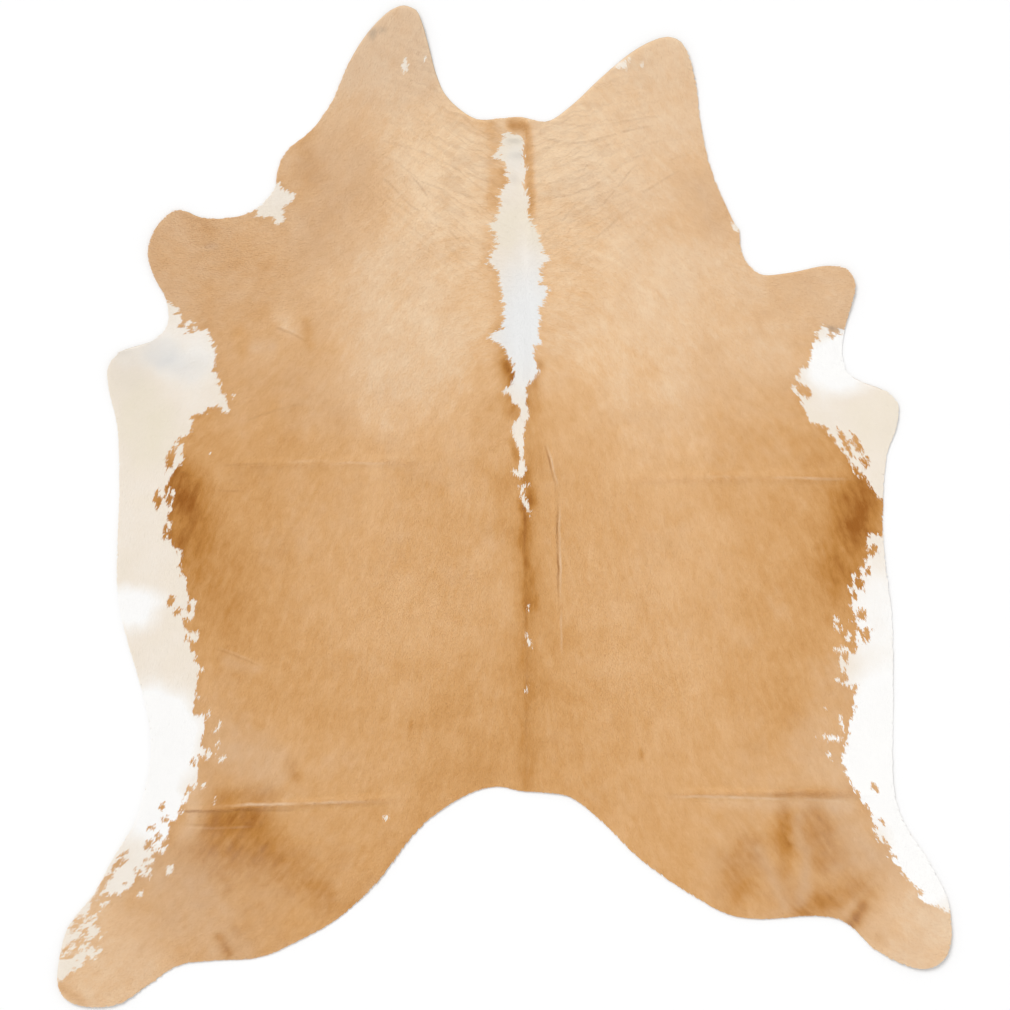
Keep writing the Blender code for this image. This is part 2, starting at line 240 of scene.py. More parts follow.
# Fine lines seen where the hide creases, painted into the hair's colour: a painted highlight where a fold
# catches the light, and dark painted shade in its shadow and in the wrinkles of the neck.
creaseMarks = {
    # startX, startY, endX, endY and bow in cm, strength, pale above 0 and dark below, half width in mm, and
    # how far to its left a second line of the other kind runs, in mm, 99 for none
    "folds": {
        "along the left thigh": (-66.0, -66.0, -26.3, -64.8, -0.1, 0.65, 5.5, 99),
        "under the left thigh's": (-74.8, -67.3, -52.0, -66.6, 0.0, -0.8, 5.0, 99),
        "and on": (-59.9, -67.0, -43.6, -67.0, 0.0, -0.35, 5.0, 99),
        "lower on the left thigh": (-71.8, -70.1, -54.0, -69.9, 0.0, -0.35, 4.5, -7),
        "along the right thigh": (34.2, -63.8, 65.4, -64.3, -0.05, 0.7, 5.5, 99),
        "right thigh, on": (63.2, -64.3, 75.9, -64.9, 0.0, 0.25, 6.0, 99),
        "over the right thigh's": (56.2, -63.5, 76.4, -62.7, 0.0, -0.35, 7.0, 99),
        "left belly, outer": (-63.6, 8.7, -49.8, 9.4, 0.0, -0.25, 5.0, 99),
        "left belly, middle": (-48.6, 9.5, -37.0, 10.0, 0.0, 0.24, 6.0, 99),
        "left belly, inner": (-39.8, 9.3, -24.0, 9.4, 0.0, 0.34, 5.0, 99),
        "left belly, under": (-64.0, 3.3, -57.0, 3.2, 0.0, -0.22, 4.5, 99),
        "left shoulder": (-58.3, 18.2, -41.5, 22.9, 0.4, -0.22, 4.5, 99),
        "under the shoulder scar": (-51.6, 39.5, -42.8, 35.7, 0.3, -0.34, 4.5, 6),
        "right belly": (56.6, 6.2, 79.0, 5.8, 0.0, 0.45, 5.0, 99),
        "right belly, inner": (38.6, 6.5, 57.0, 6.3, 0.0, 0.14, 6.0, 99),
        "beside the spine, front": (8.5, 14.2, 11.4, 1.3, 0.5, -0.9, 3.8, 5),
        "beside the spine, back": (11.3, 4.8, 11.9, -24.2, 0.2, -0.9, 3.8, 5),
        "beside the spine, end": (12.3, -21.6, 12.5, -33.9, 0.0, 0.3, 4.5, 99),
        "spine, front": (4.3, 3.5, 4.5, -13.2, 0.0, -0.8, 4.5, 99),
        "spine, middle": (4.6, -10.2, 4.8, -33.9, 0.0, -0.35, 5.0, 99),
        "spine, back": (4.9, -29.1, 4.9, -44.5, 0.0, -0.4, 4.5, 99),
        "spine, end": (4.9, -41.4, 4.9, -62.5, 0.0, -0.22, 5.0, 99),
        "left scar": (-64.3, -31.3, -52.9, -35.9, 0.4, -0.25, 4.0, 5),
    },
    # dark lines of painted shade in the neck's wrinkles
    "wrinkles": (  # startX, startY, endX, endY, bow, strength
        (-21.9, 74.2, -16.2, 67.0, 0.3, -0.40), (-12.6, 61.5, -7.6, 56.0, -0.2, -0.28),
        (-27.4, 80.4, -19.2, 78.2, 0.1, -0.20), (-19.7, 78.4, -13.3, 75.3, 0.2, -0.28),
        (-25.2, 76.0, -18.6, 71.6, 0.2, -0.24), (-18.8, 71.6, -12.4, 69.4, -0.2, -0.26),
        (-12.9, 69.6, -5.4, 67.2, 0.1, -0.22), (-27.4, 77.1, -22.7, 75.1, 0.1, -0.24),
        (-27.4, 72.3, -22.7, 67.9, 0.2, -0.28), (-23.0, 68.1, -17.7, 64.1, -0.1, -0.24),
        (-27.4, 68.7, -19.0, 62.8, 0.3, -0.22), (-14.2, 76.0, -8.9, 73.1, 0.1, -0.20),
        (-9.3, 73.4, -3.0, 70.9, 0.1, -0.22), (-12.6, 87.9, -9.3, 86.8, 0.0, -0.24),
        (-27.4, 84.3, -15.5, 83.7, -0.2, -0.20), (-12.9, 72.5, -6.7, 71.2, 0.0, -0.18),
        (-7.6, 65.0, -2.3, 63.9, 0.0, -0.20), (-11.5, 78.6, -4.1, 77.7, 0.1, -0.20),
        (-16.4, 86.5, -7.6, 83.2, 0.2, -0.16), (-31.8, 71.2, -26.5, 66.1, 0.2, -0.20),
        (-30.4, 78.2, -25.2, 74.2, 0.1, -0.20), (-4.1, 81.9, -1.0, 81.3, 0.0, -0.24),
        (7.8, 84.1, 18.4, 83.5, 0.1, -0.22), (17.9, 83.5, 25.8, 84.3, 0.0, -0.24),
        (25.2, 84.3, 35.1, 85.7, 0.2, -0.22), (8.2, 81.0, 12.9, 79.7, -0.1, -0.28),
        (12.4, 79.7, 18.8, 79.9, -0.2, -0.30), (18.1, 79.9, 25.2, 81.9, 0.0, -0.30),
        (24.5, 81.7, 33.1, 83.5, 0.2, -0.28), (8.5, 78.2, 14.8, 79.7, 0.1, -0.22),
        (9.1, 74.7, 21.0, 74.5, 0.1, -0.22), (8.9, 67.2, 15.3, 68.7, 0.0, -0.30),
        (14.6, 68.5, 20.1, 70.3, -0.1, -0.34), (19.5, 70.1, 23.6, 72.9, 0.0, -0.34),
        (23.0, 72.5, 28.0, 76.2, 0.1, -0.30), (27.4, 75.8, 29.8, 77.1, 0.0, -0.28),
        (21.4, 66.1, 24.9, 70.1, -0.1, -0.40), (24.3, 69.4, 29.3, 75.3, 0.1, -0.28),
        (15.1, 71.4, 21.0, 74.2, 0.1, -0.22), (19.9, 73.4, 22.1, 76.0, 0.0, -0.26),
        (24.5, 74.2, 28.9, 76.4, 0.0, -0.26), (12.2, 61.9, 16.2, 66.8, 0.1, -0.28),
        (20.5, 59.1, 25.8, 63.7, 0.1, -0.24), (25.2, 63.2, 29.8, 66.5, 0.0, -0.22),
        (30.9, 79.5, 41.6, 81.0, 0.1, -0.20), (29.8, 68.5, 34.6, 71.2, 0.0, -0.22),
        (34.0, 70.9, 39.0, 74.0, 0.1, -0.22), (20.3, 76.4, 25.2, 81.3, 0.2, -0.20),
        (16.6, 82.6, 23.0, 84.1, 0.0, -0.20), (35.5, 75.8, 41.9, 78.2, 0.0, -0.18),
        (12.2, 60.6, 18.4, 64.3, 0.1, -0.18), (9.1, 70.7, 13.5, 71.6, 0.0, -0.20),
    ),
    "wrinkleRest": (4.2, 99, 0.2),  # every wrinkle's half width, second line and fade
    "fade": 0.3,  # share of a fold over which each end fades out
    "reach": 12 * mm,
    "wobble": ((1.8 * mm, 45 * mm, 71), (0.8 * mm, 15 * mm, 72)),  # how far a line strays: amount, size, seed
    "strength": 0.8,
    "uneven": ((0.45, 40 * mm, 73), (0.35, 14 * mm, 74)),  # how its strength changes, in the same way
    "strengthHeld": (0.05, 1.4),
}


# For points, the line nearest to where they are picked: distance beside it in half widths, its strength, and
# how far aside its second line lies in half widths. The distance strays and the strength changes by blotches.
def creaseAt(x, y, pickX, pickY):
    folds, wrinkles = creaseMarks["folds"].values(), creaseMarks["wrinkles"]
    lines = [row + (creaseMarks["fade"],) for row in folds]
    lines += [row + creaseMarks["wrinkleRest"] for row in wrinkles]
    found = np.zeros((len(x), 3))
    nearest = np.full(len(x), creaseMarks["reach"])
    for line in lines:
        startX, startY, endX, endY, bow, strength, width, second, fade = line
        room = creaseMarks["reach"] + abs(bow) * cm
        near = np.abs(pickX - (startX + endX) / 2 * cm) < abs(endX - startX) / 2 * cm + room
        near &= np.abs(pickY - (startY + endY) / 2 * cm) < abs(endY - startY) / 2 * cm + room
        near = np.flatnonzero(near)
        pickAside, pickEnds = besideCrease(line, pickX[near], pickY[near], fade)
        taken = (np.abs(pickAside) < nearest[near]) & (pickEnds > 0.0)
        near, pickAside = near[taken], pickAside[taken]
        nearest[near] = np.abs(pickAside)
        atX, atY = x[near], y[near]
        aside, ends = besideCrease(line, atX, atY, fade)
        aside += valueAt(lineStray, atX, atY)
        here = strength * ends * valueAt(lineStrength, atX, atY)
        found[near] = np.column_stack([aside / (width * mm), here, np.full(len(near), second / width)])
    return found


lineStray = blotched(creaseMarks["wobble"])
lineStrength = blotched(creaseMarks["uneven"], creaseMarks["strength"])
lineStrength = np.clip(lineStrength, *creaseMarks["strengthHeld"])
height = hideHeight()
fleshZ = np.maximum(height, 0.0)
leatherZ = height + hideForm["leather"]
print("height of the flesh side: up to", round(float(fleshZ[edgeDepth > 0].max() / mm), 1), "mm")


# Which way the hair lies. Each row is a place on the left half and the heading of the hair there, in degrees
# from +X. The right half is the left one seen in a mirror on the spine.
hairLay = {
    "spineX": 4.5,
    "places": (  # x and y in cm, heading, reach in cm
        (-2.0, 76.0, 172, 9), (-3.0, 58.0, 178, 9), (-2.0, 40.0, 186, 9), (1.0, 22.0, 232, 6),
        (-25.0, 98.0, 252, 14), (-18.0, 85.0, 228, 14), (-35.0, 78.0, 232, 14), (-30.0, 55.0, 226, 16),
        (-50.0, 62.0, 200, 12), (-72.0, 57.0, 168, 10), (-60.0, 50.0, 192, 12), (-20.0, 28.0, 244, 16),
        (-50.0, 25.0, 232, 16), (-78.0, 28.0, 222, 12), (3.5, 5.0, 268, 6), (3.5, -25.0, 268, 6),
        (3.5, -50.0, 268, 6), (-22.0, -5.0, 256, 16), (-50.0, -5.0, 246, 16), (-78.0, -5.0, 253, 12),
        (-22.0, -38.0, 258, 16), (-50.0, -38.0, 248, 16), (-76.0, -42.0, 258, 12), (-18.0, -60.0, 250, 12),
        (-45.0, -70.0, 234, 14), (-68.0, -72.0, 238, 12), (-68.0, -90.0, 220, 12), (-88.0, -100.0, 216, 12),
    ),
    "clump": 11 * mm,  # size of the clumps of hair that lie the same way
    "clumpTurn": 9.0,  # how far a clump lies off, in degrees
    "farWeight": 1e-9,  # what a place still counts far away
}


# Unit direction of the hair: the sum of the places' directions, each weighted by exp(-(r/reach)^2), plus a
# turn that changes from clump to clump.
def hairDirection():
    alongX, alongY = np.zeros(fieldX.shape), np.zeros(fieldX.shape)
    for x, y, heading, reach in hairLay["places"]:
        for mirror in (1, -1):
            middle = hairLay["spineX"] + mirror * (x - hairLay["spineX"])
            weight = nearness(middle, y, reach) + hairLay["farWeight"]
            alongX += weight * mirror * math.cos(math.radians(heading))
            alongY += weight * math.sin(math.radians(heading))
    turned = np.arctan2(alongY, alongX) + math.radians(hairLay["clumpTurn"]) * blotches(hairLay["clump"], 11)
    return np.cos(turned), np.sin(turned)


# A field stroked along the hair: the mean of its values at steps along the hair's direction, both ways.
def combed(field, length):
    steps = round(length / fieldGrid["step"] / 2)
    total = field.copy()
    for way in (fieldGrid["step"], -fieldGrid["step"]):
        x, y = fieldX, fieldY
        for _ in range(steps):
            x, y = x + way * valueAt(hairX, x, y), y + way * valueAt(hairY, x, y)
            total += valueAt(field, x, y)
    return total / (2 * steps + 1)


hairX, hairY = hairDirection()
print("hair laid out")


# White markings. A patch is an inner boundary, given by points in cm, closed outside the hide.
markings = {
    "patches": {
        "blaze": (
            (-0.3, 81.9), (-1.0, 79.9), (-1.6, 78.2), (-2.1, 76.4), (-0.5, 75.1), (0.3, 73.4), (0.5, 72.0),
            (-0.8, 69.4), (-1.4, 67.2), (-1.2, 63.9), (-3.8, 61.1), (-1.6, 58.4), (-3.2, 55.1), (-4.2, 53.7),
            (-1.6, 51.4), (-1.0, 47.4), (-0.3, 44.1), (-0.5, 40.8), (-1.0, 39.1), (-2.9, 37.7), (-3.9, 36.4),
            (-1.0, 35.3), (0.8, 33.1), (1.9, 29.8), (2.3, 27.6), (1.4, 26.1), (-0.5, 25.7), (-0.5, 24.6),
            (1.0, 24.1), (1.6, 23.0), (2.5, 21.9), (3.4, 20.8), (3.4, 19.7), (2.5, 18.4), (1.6, 17.5),
            (1.6, 16.4), (2.1, 14.5), (3.0, 12.5), (3.4, 11.2), (3.3, 10.1), (3.2, 9.2), (3.6, 8.1),
            (3.2, 7.4), (1.6, 7.6), (1.9, 6.8), (3.0, 6.1), (3.8, 6.5), (4.7, 7.6), (4.5, 9.0), (4.1, 10.3),
            (4.1, 12.3), (4.3, 14.9), (4.3, 17.1), (4.7, 18.4), (5.6, 19.5), (5.2, 21.0), (4.5, 22.1),
            (4.1, 23.0), (4.4, 24.3), (4.8, 25.9), (6.0, 27.2), (7.6, 29.4), (6.9, 31.6), (6.7, 34.2),
            (7.8, 35.8), (8.0, 38.6), (7.6, 43.0), (10.0, 46.7), (8.2, 49.6), (7.8, 52.3), (10.3, 53.8),
            (8.2, 56.2), (7.8, 59.5), (6.7, 61.7), (5.2, 63.2), (5.6, 66.1), (5.2, 69.4), (4.1, 71.2),
            (4.7, 73.4), (4.3, 76.0), (4.1, 78.2), (3.6, 80.4), (3.4, 81.9),
        ),
        "left armpit": (
            (-54.8, 63.7), (-51.1, 63.2), (-50.0, 61.7), (-48.5, 62.4), (-48.7, 66.1), (-46.7, 66.5),
            (-46.5, 68.7), (-48.5, 69.4), (-49.8, 70.7), (-57.0, 73.0),
        ),
        "left belly": (
            (-73.3, 44.6), (-72.0, 43.2), (-71.3, 41.7), (-70.7, 39.9), (-68.7, 39.1), (-66.0, 38.8),
            (-64.9, 37.1), (-64.3, 35.3), (-63.6, 33.8), (-63.0, 33.4), (-63.6, 31.6), (-64.1, 30.1),
            (-63.4, 28.3), (-62.7, 27.4), (-62.5, 25.7), (-61.6, 24.3), (-61.0, 22.8), (-60.5, 20.4),
            (-61.9, 20.2), (-62.7, 21.5), (-64.1, 21.3), (-65.4, 20.2), (-67.4, 19.7), (-69.1, 19.1),
            (-69.3, 18.0), (-69.1, 16.6), (-69.8, 15.3), (-71.3, 14.7), (-72.2, 13.6), (-70.7, 12.7),
            (-70.7, 10.7), (-71.3, 9.2), (-72.2, 7.9), (-73.3, 6.5), (-73.5, 4.6), (-73.3, 2.4), (-73.5, 0.2),
            (-73.7, -2.0), (-73.5, -4.7), (-73.5, -6.6), (-73.1, -8.6), (-72.4, -9.5), (-71.3, -9.5),
            (-71.1, -11.0), (-71.3, -13.2), (-71.1, -15.4), (-70.0, -17.2), (-69.8, -19.4), (-68.9, -20.7),
            (-67.8, -22.3), (-67.8, -24.0), (-69.1, -24.9), (-70.9, -24.9), (-70.7, -26.9), (-69.1, -27.5),
            (-67.8, -28.0), (-67.8, -29.7), (-69.1, -29.9), (-69.8, -29.5), (-69.1, -31.3), (-68.2, -33.0),
            (-67.6, -34.6), (-66.9, -35.7), (-66.0, -36.1), (-67.1, -37.4), (-67.8, -39.2), (-68.0, -41.4),
            (-68.2, -43.6), (-68.7, -45.3), (-67.4, -46.2), (-66.3, -46.6), (-66.0, -48.8), (-65.8, -51.0),
            (-66.3, -52.8), (-65.6, -54.3), (-64.7, -55.2), (-65.2, -56.5), (-66.7, -55.4), (-68.0, -55.9),
            (-68.7, -57.2), (-68.5, -59.0), (-67.4, -60.1), (-68.9, -61.2), (-69.3, -62.9), (-70.0, -64.7),
            (-71.8, -69.1), (-73.5, -71.3),
            (-74.6, -74.6), (-77.9, -78.3), (-80.1, -80.1), (-82.3, -83.4), (-84.5, -84.9), (-87.8, -86.0),
            (-89.3, -87.7), (-90.0, -89.9), (-89.6, -93.2), (-90.0, -96.5), (-90.7, -98.7), (-93.3, -100.9),
            (-97.3, -104.2), (-106.0, -104.2), (-106.0, 44.6),
        ),
        "right belly": (
            (76.4, 39.5), (73.3, 39.3), (70.2, 39.5), (68.5, 37.7), (68.0, 35.3), (67.8, 32.7), (66.5, 30.7),
            (65.6, 29.8), (64.1, 28.3), (64.7, 26.8), (63.6, 25.4), (64.9, 23.5), (65.4, 21.5), (66.0, 19.9),
            (67.4, 18.4), (68.5, 17.5), (70.4, 18.0), (71.3, 16.6), (71.8, 15.5), (73.1, 13.8), (74.4, 12.0),
            (75.5, 10.3), (76.4, 8.7), (77.5, 7.9), (77.9, 6.3), (79.0, 5.4), (80.1, 4.3), (81.4, 2.8),
            (83.0, 1.7), (95.0, 1.7), (95.0, 39.5),
        ),
        "right flank": (
            (83.2, -7.1), (81.9, -6.6), (80.8, -6.2), (79.9, -6.2), (79.7, -8.0), (79.9, -9.7), (81.0, -9.3),
            (81.9, -9.7), (81.0, -11.0), (79.7, -11.7), (79.0, -13.2), (78.1, -14.3), (78.1, -16.1),
            (79.2, -16.8), (79.0, -18.3), (77.7, -17.9), (77.3, -16.3), (76.6, -15.4), (76.6, -17.2),
            (76.2, -18.5), (77.0, -20.1), (75.9, -20.9), (75.9, -22.5), (76.8, -25.1), (77.7, -25.8),
            (77.7, -27.7), (76.6, -29.5), (75.5, -28.6), (74.4, -29.1), (75.3, -30.2), (76.6, -30.8),
            (76.4, -32.4), (75.3, -34.1), (73.5, -33.5), (74.0, -35.2), (74.8, -37.0), (75.1, -38.3),
            (74.4, -39.2), (75.9, -40.5), (76.8, -39.2), (77.9, -39.2), (77.0, -42.0), (76.8, -44.9),
            (76.4, -47.5), (75.9, -49.7), (75.1, -51.7), (74.8, -54.1), (74.2, -55.9), (74.8, -57.6),
            (75.5, -59.8), (76.6, -62.0), (78.4, -64.5), (80.3, -67.1), (81.6, -70.8), (82.1, -73.0),
            (83.6, -73.5), (84.5, -75.0), (85.4, -77.2), (86.5, -79.4), (87.6, -81.6), (89.3, -82.3),
            (90.7, -83.6), (91.5, -85.3), (91.1, -86.6), (93.1, -87.7), (95.3, -88.2), (97.0, -89.1),
            (106.0, -89.1), (106.0, -7.1),
        ),
    },
    "flecks": (  # white spots on the tan: x, y, length and width in cm, heading
        (4.3, 3.7, 2.2, 0.8, 228), (4.5, 0.7, 4.2, 0.8, 293), (5.2, -22.2, 1.4, 0.6, 270),
        (5.1, -29.3, 2.2, 0.6, 292), (4.9, -40.5, 1.0, 0.5, 270),
        (-21.9, 96.6, 2.6, 1.6, 250), (-17.5, 98.0, 0.9, 0.6, 250), (25.6, 96.8, 3.6, 1.8, 200),
        (30.2, 96.8, 1.2, 1.0, 220), (50.7, 61.2, 2.0, 1.2, 300), (-26.0, -68.6, 1.0, 1.0, 240),
        (-63.2, -49.0, 2.0, 0.7, 230),
        (-61.9, -55.6, 2.4, 1.1, 205), (-63.0, -52.5, 1.8, 0.5, 255), (-65.0, -46.0, 1.2, 0.5, 255),
        (-69.8, -22.8, 1.0, 0.6, 250), (73.0, -24.9, 1.4, 1.0, 300),
        (73.5, -27.1, 1.9, 1.1, 300), (73.7, -31.6, 2.6, 0.9, 356), (71.8, -51.1, 4.4, 1.0, 350),
        (74.1, -47.7, 2.4, 0.7, 285), (73.1, -38.5, 0.8, 0.8, 280), (-64.9, 11.5, 0.6, 0.5, 250),
        (-79.7, -80.7, 1.1, 0.8, 250), (-78.4, -81.2, 1.1, 0.9, 260), (-80.1, -85.5, 0.9, 0.9, 240),
        (-74.0, -80.1, 2.0, 1.1, 80), (-88.2, -87.7, 1.8, 0.7, 230), (-90.2, -99.0, 2.6, 0.7, 232),
        (-63.8, -65.0, 0.9, 0.5, 230), (-66.3, -61.6, 0.8, 0.4, 240), (70.4, -44.5, 0.5, 0.5, 250),
        (-59.7, 23.9, 0.9, 0.7, 200),
        (71.5, -55.2, 1.4, 0.7, 300), (75.4, 12.4, 1.4, 0.5, 300),
    ),
    "tufts": (  # tan spots on the white, in the same way
        (-76.4, 1.2, 3.6, 1.8, 265), (-73.3, -20.9, 2.1, 1.7, 250), (-74.3, 3.4, 2.6, 0.8, 262),
        (-71.8, -23.5, 2.1, 1.5, 245), (-73.3, 10.3, 5.3, 1.8, 247), (-74.6, -6.0, 3.0, 1.2, 262),
        (-69.6, -22.7, 2.2, 1.1, 260), (-70.2, -29.4, 1.4, 0.9, 250),
        (78.6, -24.1, 2.4, 1.7, 280), (79.5, -28.2, 3.0, 1.8, 272), (79.9, -14.6, 1.7, 0.8, 255),
        (81.0, -9.9, 2.6, 1.4, 250), (78.5, -17.2, 2.0, 1.5, 250),
        (74.8, 13.8, 4.4, 0.8, 296), (77.5, 13.6, 4.0, 1.3, 297), (79.0, 10.2, 3.2, 1.3, 291),
        (66.0, 25.0, 3.6, 2.4, 335), (71.8, 38.6, 2.6, 1.8, 250),
        (81.3, -61.7, 2.2, 1.4, 300), (83.2, -69.5, 2.2, 0.8, 300),
        (-88.0, -82.7, 5.7, 1.5, 232), (-84.5, -78.3, 4.0, 1.5, 232), (-90.0, -88.0, 4.4, 2.6, 248),
        (-89.8, -89.7, 2.9, 0.9, 180), (-93.3, -91.3, 3.5, 2.0, 225), (-95.3, -93.5, 2.0, 1.3, 240),
        (-93.5, -95.9, 3.1, 1.5, 188), (-96.2, -97.6, 2.2, 1.3, 215), (-94.2, -97.6, 2.0, 1.1, 205),
        (-96.4, -99.2, 2.2, 0.9, 190), (-91.3, -97.2, 2.0, 0.7, 235), (-92.2, -93.2, 1.8, 0.9, 200),
        (-75.3, -66.0, 1.5, 1.1, 250), (-74.8, -69.1, 1.5, 1.1, 250), (-77.9, -71.0, 1.5, 1.1, 240),
        (-77.3, -75.7, 2.0, 0.9, 240), (-78.6, -74.6, 1.8, 1.1, 230), (-76.2, -73.0, 1.8, 0.9, 240),
        (80.3, 1.0, 2.0, 1.2, 280), (-70.2, 40.4, 3.0, 1.1, 240), (-69.3, 38.4, 1.8, 1.2, 215),
    ),
    "ticking": (  # where single hairs of the other colour show, or fewer do: x, y, reach in cm, amount in mm
        (-92.0, -93.0, 8.0, 3.0), (-79.0, -77.0, 7.0, 2.5), (92.0, -78.0, 5.0, 1.5), (-73.0, -64.0, 5.0, 2.5),
        (-69.0, 38.0, 4.0, 3.0), (73.0, 39.0, 4.0, 3.0), (78.0, -28.0, 7.0, 2.0), (-73.5, 2.0, 7.0, 0.7),
        (-68.0, -56.0, 5.0, 2.0), (77.0, 12.0, 4.0, 1.5), (3.5, 12.0, 8.0, -0.9),
    ),
    "reach": 40 * mm,
    "tuftSize": 10 * mm,  # raggedness of the boundary
    "tuftReach": 6.0 * mm,
    "tuftLength": 16 * mm,
    "tuftContrast": 2.0,  # what combing takes from the blotches is given back
    "roundTufts": 0.4,  # share of uncombed blotches
    "raggedSpots": 0.4,  # flecks and tufts have this share of it
    "tickedTufts": 4.0,  # how much more ragged it is where hairs are mixed
    "tickedLess": 0.6,  # and how far the white draws back there
}


# Spots on the grid: (1 - sqrt((u/a)^2 + (v/b)^2)) b, with u along the spot's heading and v across it; the
# most of all.
def spotDepth(spots):
    depth = np.full(fieldX.shape, -markings["reach"])
    for x, y, length, width, heading in spots:
        c, s = math.cos(math.radians(heading)), math.sin(math.radians(heading))
        a, b = length * cm / 2, width * cm / 2
        dx, dy = fieldX - x * cm, fieldY - y * cm
        depth = np.maximum(depth, (1.0 - np.hypot((dx * c + dy * s) / a, (dy * c - dx * s) / b)) * b)
    return depth


# How much a point's hairs are mixed, in metres: the sum of amount exp(-(r/reach)^2).
def tickingDepth():
    amount = np.zeros(fieldX.shape)
    for x, y, reach, most in markings["ticking"]:
        amount += most * mm * nearness(x, y, reach)
    return amount


# How far inside the white a point is, in metres: the most of all patches and flecks, less the tufts, and made
# ragged by blotches combed along the hair. Also the same for the patches alone, smooth.
def whiteDepth():
    patches = np.full(fieldX.shape, -markings["reach"])
    for points in markings["patches"].values():
        patches = np.maximum(patches, depthInside(np.array(points) * cm, markings["reach"]))
    ragged = combed(blotches(markings["tuftSize"] / 2, 21), markings["tuftLength"]) * markings["tuftContrast"]
    ragged += markings["roundTufts"] * blotches(markings["tuftSize"], 22)
    ragged *= markings["tuftReach"] + markings["tickedTufts"] * tickingField
    onSpots = markings["raggedSpots"] * ragged
    depth = patches - markings["tickedLess"] * tickingField + ragged
    depth = np.maximum(depth, spotDepth(markings["flecks"]) + onSpots)
    return np.minimum(depth, onSpots - spotDepth(markings["tufts"])), patches


tickingField = tickingDepth()
whiteField, patchField = whiteDepth()
print("white markings over", round(areaOf((whiteField > 0) & (edgeDepth > 0)), 3), "m2")


